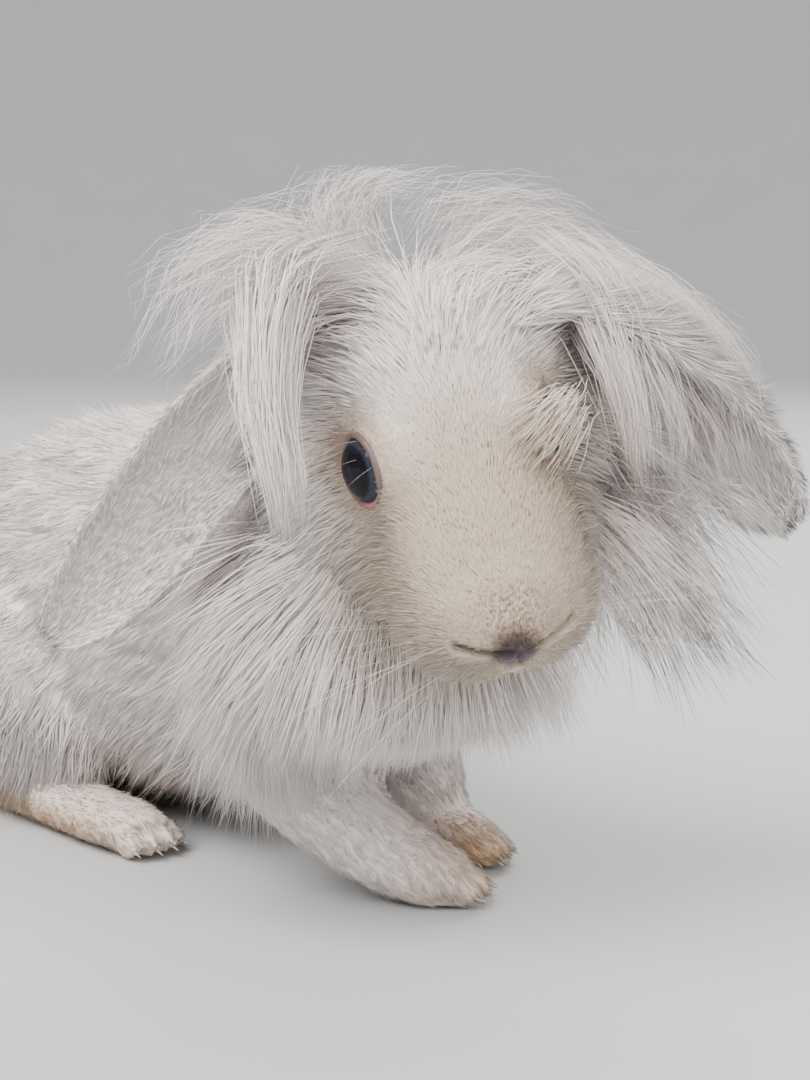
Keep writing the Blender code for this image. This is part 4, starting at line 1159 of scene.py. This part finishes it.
def grown(roots, rng, steps, ruffle=0.15, wander=0.25, wavelength=14.0, clearance=1.5, keep_out=True,
          sink=1.0):
    """Lines of hair: they leave their roots along the lie, wander a little and sink with gravity."""
    place, normals, way, length, fall, lift = roots
    count = len(place)
    stray = np.where(rng.random(count) < 0.06, 3.0, 1.0) * rng.uniform(0.6, 1.4, count)
    heading = unit(way + normals * (lift * stray)[:, None] + rng.normal(0, ruffle, (count, 3)))
    lines, outward = np.empty((count, steps + 1, 3)), np.empty((count, steps + 1, 3))
    lines[:, 0], outward[:, 0] = place - normals * sink, normals
    here, stride, away = place, (length / steps)[:, None], normals.copy()
    for step in range(1, steps + 1):
        share = step / steps
        turn = drift(here, wavelength, 7) * (wander * share)
        if not keep_out:
            turn -= normals * (turn * normals).sum(1)[:, None]
        heading = unit(heading + turn + np.array((0, 0, -1.0)) * (fall * share)[:, None])
        aim = here + heading * stride
        if keep_out:
            off_skin = clearance * min(1.0, 2 * share) * rng.uniform(0.3, 1.6, count)
            aim, away = pushed_out(aim, away.copy(), off_skin)
            moved = aim - here
            far = np.linalg.norm(moved, axis=1, keepdims=True)
            aim = here + moved * np.minimum(1, 1.5 * stride / np.maximum(far, 1e-9))
            heading = unit(heading * 0.4 + unit(aim - here) * 0.6)
        else:
            aim[:, 2] = np.maximum(aim[:, 2], FLOOR_GAP)
        lines[:, step], outward[:, step] = aim, away
        here = aim
    return lines, outward


def clumped(lines, rng, per_clump, tightness):
    """Draws the tips of the hairs towards the middle hair of their clump."""
    leaders = rng.choice(len(lines), max(1, len(lines) // per_clump), replace=False)
    tree = KDTree(len(leaders))
    for i, leader in enumerate(leaders):
        tree.insert(lines[leader, 0], i)
    tree.balance()
    clump = np.array([tree.find(line[0])[1] for line in lines])
    share = tightness * np.linspace(0, 1, lines.shape[1])[None, :, None] ** 1.2
    return lines * (1 - share) + lines[leaders[clump]] * share, clump


def chart(points, start, end):
    """Places on an unwrap round the axis from start to end: round it and along it."""
    start, end = np.asarray(start, float), np.asarray(end, float)
    along = unit(end - start)
    side = unit(np.cross(along, (0, 0, 1) if abs(along[2]) < 0.9 else (1, 0, 0)))
    rise = np.cross(side, along)
    off = points - start
    turn = np.arctan2(off @ side, off @ rise) / (2 * math.pi) + 0.5
    run = (off @ along) / np.linalg.norm(end - start)
    return np.clip(np.stack((turn, run), axis=1), 0, 1) * 0.992 + 0.002


def kept_in_box(lines):
    """Shortens the hairs that would reach too far out of the solids' bounds."""
    low, high = np.array(cad_box)
    room = (high - low) * ROOM_SHARE + np.array(ROOM)
    low, high = from_row(low - room), from_row(high + room)
    off = lines - lines[:, :1]
    limit = np.where(off > 0, high, low) - lines[:, :1]
    far = np.abs(off) > 1e-3
    share = np.min(np.where(far, limit / np.where(far, off, 1), 9), axis=(1, 2))
    return lines[:, :1] + off * np.clip(share, 0, 1)[:, None, None]


def hair_object(name, lines, outward, width, shade, axis):
    """One mesh of tapered blades of three sides along the lines, each a small patch on the chart."""
    count, rings = len(lines), lines.shape[1] - 1
    lines = kept_in_box(lines)
    along = unit(np.gradient(lines, axis=1))
    side = unit(np.cross(along, outward))
    rise = np.cross(side, along)
    half = width[:, None, None] / 2 * np.array(OUTLINES[rings])[None, :, None]
    corners = [lines[:, :rings] + side[:, :rings] * (x * half) + rise[:, :rings] * (y * half)
               for x, y in ((-1, -0.2), (1, -0.2), (0, 0.45))]
    points = np.stack(corners, axis=2).reshape(count, rings * 3, 3)
    points = np.concatenate((points, lines[:, rings:]), axis=1)
    tip = rings * 3
    faces = [(0, 2, 1)]
    for low in range(0, tip - 3, 3):
        for k in range(3):
            n = (k + 1) % 3
            faces += [(low + k, low + n, low + 3 + n), (low + k, low + 3 + n, low + 3 + k)]
    faces += [(tip - 3 + k, tip - 3 + (k + 1) % 3, tip) for k in range(3)]
    faces = np.array(faces)
    size = tip + 1
    corners = (faces[None] + np.arange(count)[:, None, None] * size).reshape(-1)
    mesh = bpy.data.meshes.new(name)
    mesh.vertices.add(count * size)
    mesh.vertices.foreach_set("co", to_row(points.reshape(-1, 3)).ravel())
    mesh.loops.add(len(corners))
    mesh.loops.foreach_set("vertex_index", corners)
    mesh.polygons.add(len(corners) // 3)
    mesh.polygons.foreach_set("loop_start", np.arange(0, len(corners), 3))
    mesh.polygons.foreach_set("loop_total", np.full(len(corners) // 3, 3))
    mesh.polygons.foreach_set("use_smooth", np.ones(len(corners) // 3, bool))
    mesh.update(calc_edges=True)
    ring_of = np.append(np.repeat(np.arange(rings), 3), rings)
    write_shares(mesh, "shade", np.repeat(shade, size))
    write_shares(mesh, "along", np.tile(ring_of / rings, count))
    lie = mesh.attributes.new("lie_normal", "FLOAT_VECTOR", "POINT")
    lie.data.foreach_set("vector", outward[:, ring_of].reshape(-1))
    place = chart(lines[:, 0], *axis)
    patch = np.stack((np.append(np.tile((0, 0.5, 1), rings), 0.5), ring_of / rings), axis=1) * 0.003
    uv = (place[:, None] + patch[None]).reshape(-1, 2)[corners]
    mesh.uv_layers.new(name="OFBake").data.foreach_set("uv", uv.ravel())
    return linked(name, mesh)


def thinned(count):
    """The number of hairs, as it is given."""
    return count


def coat(name, weight, axis):
    """Sows one piece of the coat where the weight is, then grows, clumps and meshes its hairs."""
    slot, count, steps, width, per_clump, tightness, seed, reach, growth = COATS[name]
    width = width or sizes().hair_width / MM
    rng = np.random.default_rng(sizes().seed + seed)
    roots = sown(weight, thinned(count), rng)
    length = np.minimum(roots[3], reach) * rng.uniform(0.75, 1.15, len(roots[3]))
    lines, outward = grown((*roots[:3], length, *roots[4:]), rng, steps, **growth)
    lines, clump = clumped(lines, rng, per_clump, tightness)
    shade = 0.5 * rng.random(len(lines)) + 0.5 * rng.random(clump.max() + 1)[clump]
    thick = width * rng.uniform(0.7, 1.2, len(lines)) * 1
    piece = hair_object(name, lines, outward, thick, shade, axis)
    finished(piece, bpy.data.materials.get("rabbit_hair") or coat_finish("rabbit_hair"), slot)


class RABBIT_OT_skin(bpy.types.Operator):
    """One skin over body, head, ears, legs and tail"""
    bl_idname = "rabbit.skin"
    bl_label = "Skin"

    def execute(self, context):
        finished(build_skin(), skin_finish(), "coat", *SKIN_NODES)
        return {"FINISHED"}


class RABBIT_OT_body_coat(bpy.types.Operator):
    """The soft coat of back, flanks, haunches and tail"""
    bl_idname = "rabbit.body_coat"
    bl_label = "Body coat"

    def execute(self, context):
        points = groomed["points"]
        body = share_of("torso", "haunch", "tail") * smooth_step(1.5, 8, points[:, 2])
        body[ruff_share(points, 5) < 1] = 0
        for name, low, high in (("rump", -200, -75), ("back", -75, 0), ("shoulder", 0, 200)):
            here = body * ((points[:, 0] >= low) & (points[:, 0] < high))
            coat("coat_" + name, here, ((-150, 0, 55), (95, -15, 65)))
        return {"FINISHED"}


class RABBIT_OT_mane(bpy.types.Operator):
    """The long mane round the neck and the bib on the breast"""
    bl_idname = "rabbit.mane"
    bl_label = "Mane and bib"

    def execute(self, context):
        points = groomed["points"]
        neck = share_of("mane") * (groomed["groom"][:, 3] > 12)
        axis = (RUFF_CENTRE - (40, 0, 40), RUFF_CENTRE + (40, 0, 40))
        for name, low, high in (("right", -200, -45), ("middle", -45, -15), ("left", -15, 200)):
            coat("mane_" + name, neck * ((points[:, 1] >= low) & (points[:, 1] < high)), axis)
        coat("mane_wool", share_of("mane"), axis)
        return {"FINISHED"}


class RABBIT_OT_forelock(bpy.types.Operator):
    """Forelock, nape and cheek ruffs"""
    bl_idname = "rabbit.forelock"
    bl_label = "Forelock and ruffs"

    def execute(self, context):
        head = from_head(groomed["points"])
        long = share_of("head") * smooth_step(10, 24, groomed["groom"][:, 3])
        coat("forelock_right", long * (head[:, 1] < 0), head_axis())
        coat("forelock_left", long * (head[:, 1] >= 0), head_axis())
        wool = share_of("head") * smooth_step(8, 14, groomed["groom"][:, 3])
        coat("head_wool", wool, head_axis())
        return {"FINISHED"}


class RABBIT_OT_face_coat(bpy.types.Operator):
    """The short coat of the face"""
    bl_idname = "rabbit.face_coat"
    bl_label = "Face coat"

    def execute(self, context):
        head = from_head(groomed["points"])
        length = groomed["groom"][:, 3]
        short = share_of("head") * smooth_step(24, 12, length) * smooth_step(-46, -30, head[:, 0])
        for side in (1, -1):
            eye = far_from(head, mirrored(EYE_PLACE, side))
            short = short * np.where(eye < 13, smooth_step(1.02, 1.12, lid_share(head, side)), 1)
            groomed["groom"][:, 3] *= 0.35 + 0.65 * smooth_step(EYE_RADIUS + 2, EYE_RADIUS + 11, eye)
        short = short * smooth_step(3.2, 5.0, far_from(head, (51, 0, -10.5)))
        for line, width, _ in slit_lines():
            short = short * smooth_step(width + 0.1, width + 1.1, near_segments(head, line))
        coat("face_coat", short, (on_head((-60, 0, -5)), on_head((56, 0, -5))))
        return {"FINISHED"}


class RABBIT_OT_ear_coats(bpy.types.Operator):
    """The short coat of both ears"""
    bl_idname = "rabbit.ear_coats"
    bl_label = "Ear coats"

    def execute(self, context):
        for name, region, stations in (("ear_coat_right", "ear_r", RIGHT_EAR),
                                       ("ear_coat_left", "ear_l", LEFT_EAR),
                                       ("ear_wool", "ear_l", LEFT_EAR)):
            coat(name, share_of(region), (stations[0][0], stations[-1][0]))
        return {"FINISHED"}


class RABBIT_OT_leg_coats(bpy.types.Operator):
    """The close coat of legs and feet"""
    bl_idname = "rabbit.leg_coats"
    bl_label = "Leg coats"

    def execute(self, context):
        points = groomed["points"]
        legs = share_of("foreleg", "hindfoot") * smooth_step(1.0, 3.0, points[:, 2])
        coat("leg_coat", legs, ((-110, 0, 12), (110, 0, 12)))
        return {"FINISHED"}


class RABBIT_OT_eyes(bpy.types.Operator):
    """Both eyeballs and their lids"""
    bl_idname = "rabbit.eyes"
    bl_label = "Eyes and lids"

    def execute(self, context):
        for side, label in ((1, "left"), (-1, "right")):
            centre = on_head(mirrored(EYE_PLACE, side))
            eye = settled(primitive("uv_sphere", segments=64, ring_count=40,
                                    radius=EYE_RADIUS * HEAD_SCALE * MM, location=to_row(centre)))
            eye.name = "eyeball_" + label
            eye.data.shade_smooth()
            out = unit(HEAD_TURN @ unit(mirrored(EYE_FACING, side)))
            finished(eye, eye_finish("eye_" + label, centre, out), "eye", "eye_" + label)
            lids = lid_ring(side, 0.85)
            lids.name = "lids_" + label
            lids.data.shade_smooth()
            finished(lids, lid_finish("lid_" + label), "face")
        return {"FINISHED"}


def lock_lines(path, count, spreads, rng, steps, waver=1.5):
    """Hairs that run together along a path, of uneven length, spread out from it."""
    path = np.array(path, float)
    run = distances_along(path)
    fine = flowing_points(run, path, np.linspace(0, run[-1], 61))
    start = rng.uniform(0, 0.16, count)[:, None]
    share = start + np.linspace(0, 1, steps + 1)[None] * (rng.uniform(0.7, 1.0, count)[:, None] - start)
    low = np.minimum((share * 60).astype(int), 59)
    part = (share * 60 - low)[:, :, None]
    lines = fine[low] * (1 - part) + fine[low + 1] * part
    spread = np.interp(share, (0, 0.5, 1), spreads)[:, :, None]
    lines += np.clip(rng.normal(size=(count, 1, 3)), -1.8, 1.8) * spread
    far = rng.normal(size=(count, 1, 3)) * 0.5
    flat = (lines + far * 8).reshape(-1, 3)
    return lines + drift(flat, 22.0, 3).reshape(lines.shape) * share[:, :, None] * waver


def spans(tables, rng, steps, waver):
    """Lines of all the locks of a table, and the way out from the head at their points."""
    lines = np.concatenate([lock_lines(path, thinned(count), spreads, rng, steps, waver)
                            for path, count, spreads in tables])
    return lines, unit(lines - on_head((-10, 0, -8)))


class RABBIT_OT_side_locks(bpy.types.Operator):
    """The locks before the ears and the loose hairs over the crown"""
    bl_idname = "rabbit.side_locks"
    bl_label = "Side locks and wisps"

    def execute(self, context):
        brow = (tuple(on_head(FAR_BROW[0])), *FAR_BROW[1:])
        for name, table, width, waver, seed in (("side_locks", (*SIDE_LOCKS, brow), 0.32, 2.0, 70),
                                                ("wisps", WISPS, 0.24, 5.0, 71)):
            rng = np.random.default_rng(sizes().seed + seed)
            lines, outward = spans(table, rng, 6, waver)
            thick = width * rng.uniform(0.6, 1.2, len(lines))
            piece = hair_object(name, lines, outward, thick, rng.random(len(lines)), head_axis())
            finished(piece, bpy.data.materials["rabbit_hair"], "mane")
        return {"FINISHED"}


class RABBIT_OT_whiskers(bpy.types.Operator):
    """Whiskers in rows on both lips, and the lashes"""
    bl_idname = "rabbit.whiskers"
    bl_label = "Whiskers and lashes"

    def execute(self, context):
        rng = np.random.default_rng(sizes().seed + 80)
        roots, ways, lengths = [], [], []
        for side in (1, -1):
            for row in range(3):
                for place in range(4):
                    roots.append(mirrored((42 - 3.2 * place, 11 + 1.6 * place, -8 - 3 * row), side))
                    ways.append(mirrored((0.35 - 0.25 * place, 1, 0.3 - 0.3 * row), side))
                    lengths.append(rng.uniform(34, 56))
            for place, way, length in LASHES:
                roots.append(mirrored(place, side))
                ways.append(mirrored(way, side))
                lengths.append(length)
        here, lines = np.array([groomed["tree"].find_nearest(root)[0] for root in on_head(roots)]), []
        heading = unit(unit(ways) @ HEAD_TURN.T + rng.normal(0, 0.08, (len(roots), 3)))
        for step in range(7):
            lines.append(here)
            here = here + heading * (np.array(lengths) / 6)[:, None]
            heading = unit(heading + (0, 0, -0.06))
        lines = np.stack(lines, axis=1)
        piece = hair_object("whiskers", lines, np.broadcast_to((0.0, 0.0, 1.0), lines.shape),
                            np.full(len(lines), 0.15), rng.random(len(lines)), head_axis())
        finished(piece, bpy.data.materials["rabbit_hair"], "face")
        return {"FINISHED"}


class RABBIT_OT_claws(bpy.types.Operator):
    """One curved claw, copied to every toe"""
    bl_idname = "rabbit.claws"
    bl_label = "Claws"

    def execute(self, context):
        model = settled(primitive("cone", vertices=10, radius1=1.0 * MM, radius2=0.12 * MM, depth=7 * MM,
                                  rotation=(0, math.radians(90), 0)))
        edited(model, bpy.ops.mesh.select_all, action="SELECT")
        edited(model, bpy.ops.mesh.subdivide, number_cuts=3)
        for vertex in model.data.vertices:
            vertex.co.z -= 28 * (vertex.co.x + 3.5 * MM) ** 2
        model.data.shade_smooth()
        claws = []
        for stations, side in LEGS:
            near, tip = mirrored(stations[0][:3], side), mirrored(stations[2][:3], side)
            along = unit((tip - near) * (1, 1, 0))
            across = np.array((-along[1], along[0], 0))
            for place in (-1, -1 / 3, 1 / 3, 1):
                back = 2.5 + 3.5 * abs(place) ** 1.5
                centre = np.array((tip[0], tip[1], 5.0)) - along * back
                centre = centre + across * place * stations[1][3] * 0.66
                turn = math.atan2(along[1], along[0]) + place * 0.12
                centre = centre + 4.6 * np.array((math.cos(turn), math.sin(turn), 0)) - (0, 0, 0.9)
                claw = linked("claw", model.data.copy())
                claw.location, claw.rotation_euler = to_row(centre), (0, 0, turn)
                claws.append(claw)
        bpy.data.objects.remove(model)
        finished(settled(joined(claws, "claws")), claw_finish(), "foot")
        return {"FINISHED"}


class RABBIT_OT_stage(bpy.types.Operator):
    """Floor, lights and camera"""
    bl_idname = "rabbit.stage"
    bl_label = "Stage"

    def execute(self, context):
        floor = primitive("circle", vertices=128, radius=FLOOR_RADIUS, fill_type="NGON")
        floor.name = "floor"
        bpy.ops.object.mode_set(mode="EDIT")
        bpy.ops.mesh.select_mode(type="EDGE")
        bpy.ops.mesh.select_all(action="SELECT")
        reach = FLOOR_RADIUS
        for turn in np.radians(np.arange(6, 91, 6)):
            wider = FLOOR_RADIUS + FLOOR_CURVE * math.sin(turn)
            rise = FLOOR_CURVE * (math.cos(turn - math.radians(6)) - math.cos(turn))
            bpy.ops.mesh.extrude_edges_move()
            bpy.ops.transform.resize(value=(wider / reach, wider / reach, 1), center_override=(0, 0, 0))
            bpy.ops.transform.translate(value=(0, 0, rise))
            reach = wider
        bpy.ops.object.mode_set(mode="OBJECT")
        floor.data.shade_smooth()
        floor.data.materials.append(floor_finish())
        look = to_row((80, -40, 80))
        for name, place, size, power, colour in LIGHTS:
            bpy.ops.object.light_add(type="AREA", location=place)
            light = bpy.context.object
            light.name = name
            light.data.shape, light.data.size = "DISK", size
            light.data.energy, light.data.color = power, colour
            light.rotation_euler = (Vector(look) - Vector(place)).to_track_quat("-Z", "Y").to_euler()
        world = bpy.data.worlds.new("studio")
        world.use_nodes = True
        sky = world.node_tree.nodes["Background"].inputs
        sky["Color"].default_value, sky["Strength"].default_value = WORLD_COLOUR, WORLD_STRENGTH
        context.scene.world = world
        bpy.ops.object.camera_add(location=CAMERA_PLACE, rotation=CAMERA_TURN)
        camera = bpy.context.object
        camera.data.lens, camera.data.sensor_width = 60, 36
        camera.data.clip_start = 0.01
        context.scene.camera = camera
        return {"FINISHED"}


class RABBIT_PT_panel(bpy.types.Panel):
    """Sizes, colours and the steps that build the rabbit"""
    bl_idname = "RABBIT_PT_panel"
    bl_label = "Rabbit"
    bl_space_type = "VIEW_3D"
    bl_region_type = "UI"
    bl_category = "Rabbit"

    def draw(self, context):
        for group in (context.scene.rabbit_sizes, context.scene.rabbit_colours):
            box = self.layout.box()
            for name in group.bl_rna.properties.keys():
                if name not in ("rna_type", "name"):
                    box.prop(group, name)
        for step in STEPS:
            self.layout.operator(step.bl_idname)


STEPS = (RABBIT_OT_skin, RABBIT_OT_body_coat, RABBIT_OT_mane, RABBIT_OT_forelock, RABBIT_OT_face_coat,
         RABBIT_OT_ear_coats, RABBIT_OT_leg_coats, RABBIT_OT_side_locks, RABBIT_OT_eyes,
         RABBIT_OT_whiskers, RABBIT_OT_claws, RABBIT_OT_stage)
CLASSES = (RabbitSizes, RabbitColours, *STEPS, RABBIT_PT_panel)


def register():
    for item in CLASSES:
        bpy.utils.register_class(item)
    bpy.types.Scene.rabbit_sizes = PointerProperty(type=RabbitSizes)
    bpy.types.Scene.rabbit_colours = PointerProperty(type=RabbitColours)


def unregister():
    del bpy.types.Scene.rabbit_colours
    del bpy.types.Scene.rabbit_sizes
    for item in reversed(CLASSES):
        bpy.utils.unregister_class(item)


def main():
    register()
    for step in STEPS:
        group, name = step.bl_idname.split(".")
        getattr(getattr(bpy.ops, group), name)()


if __name__ == "__main__":
    main()
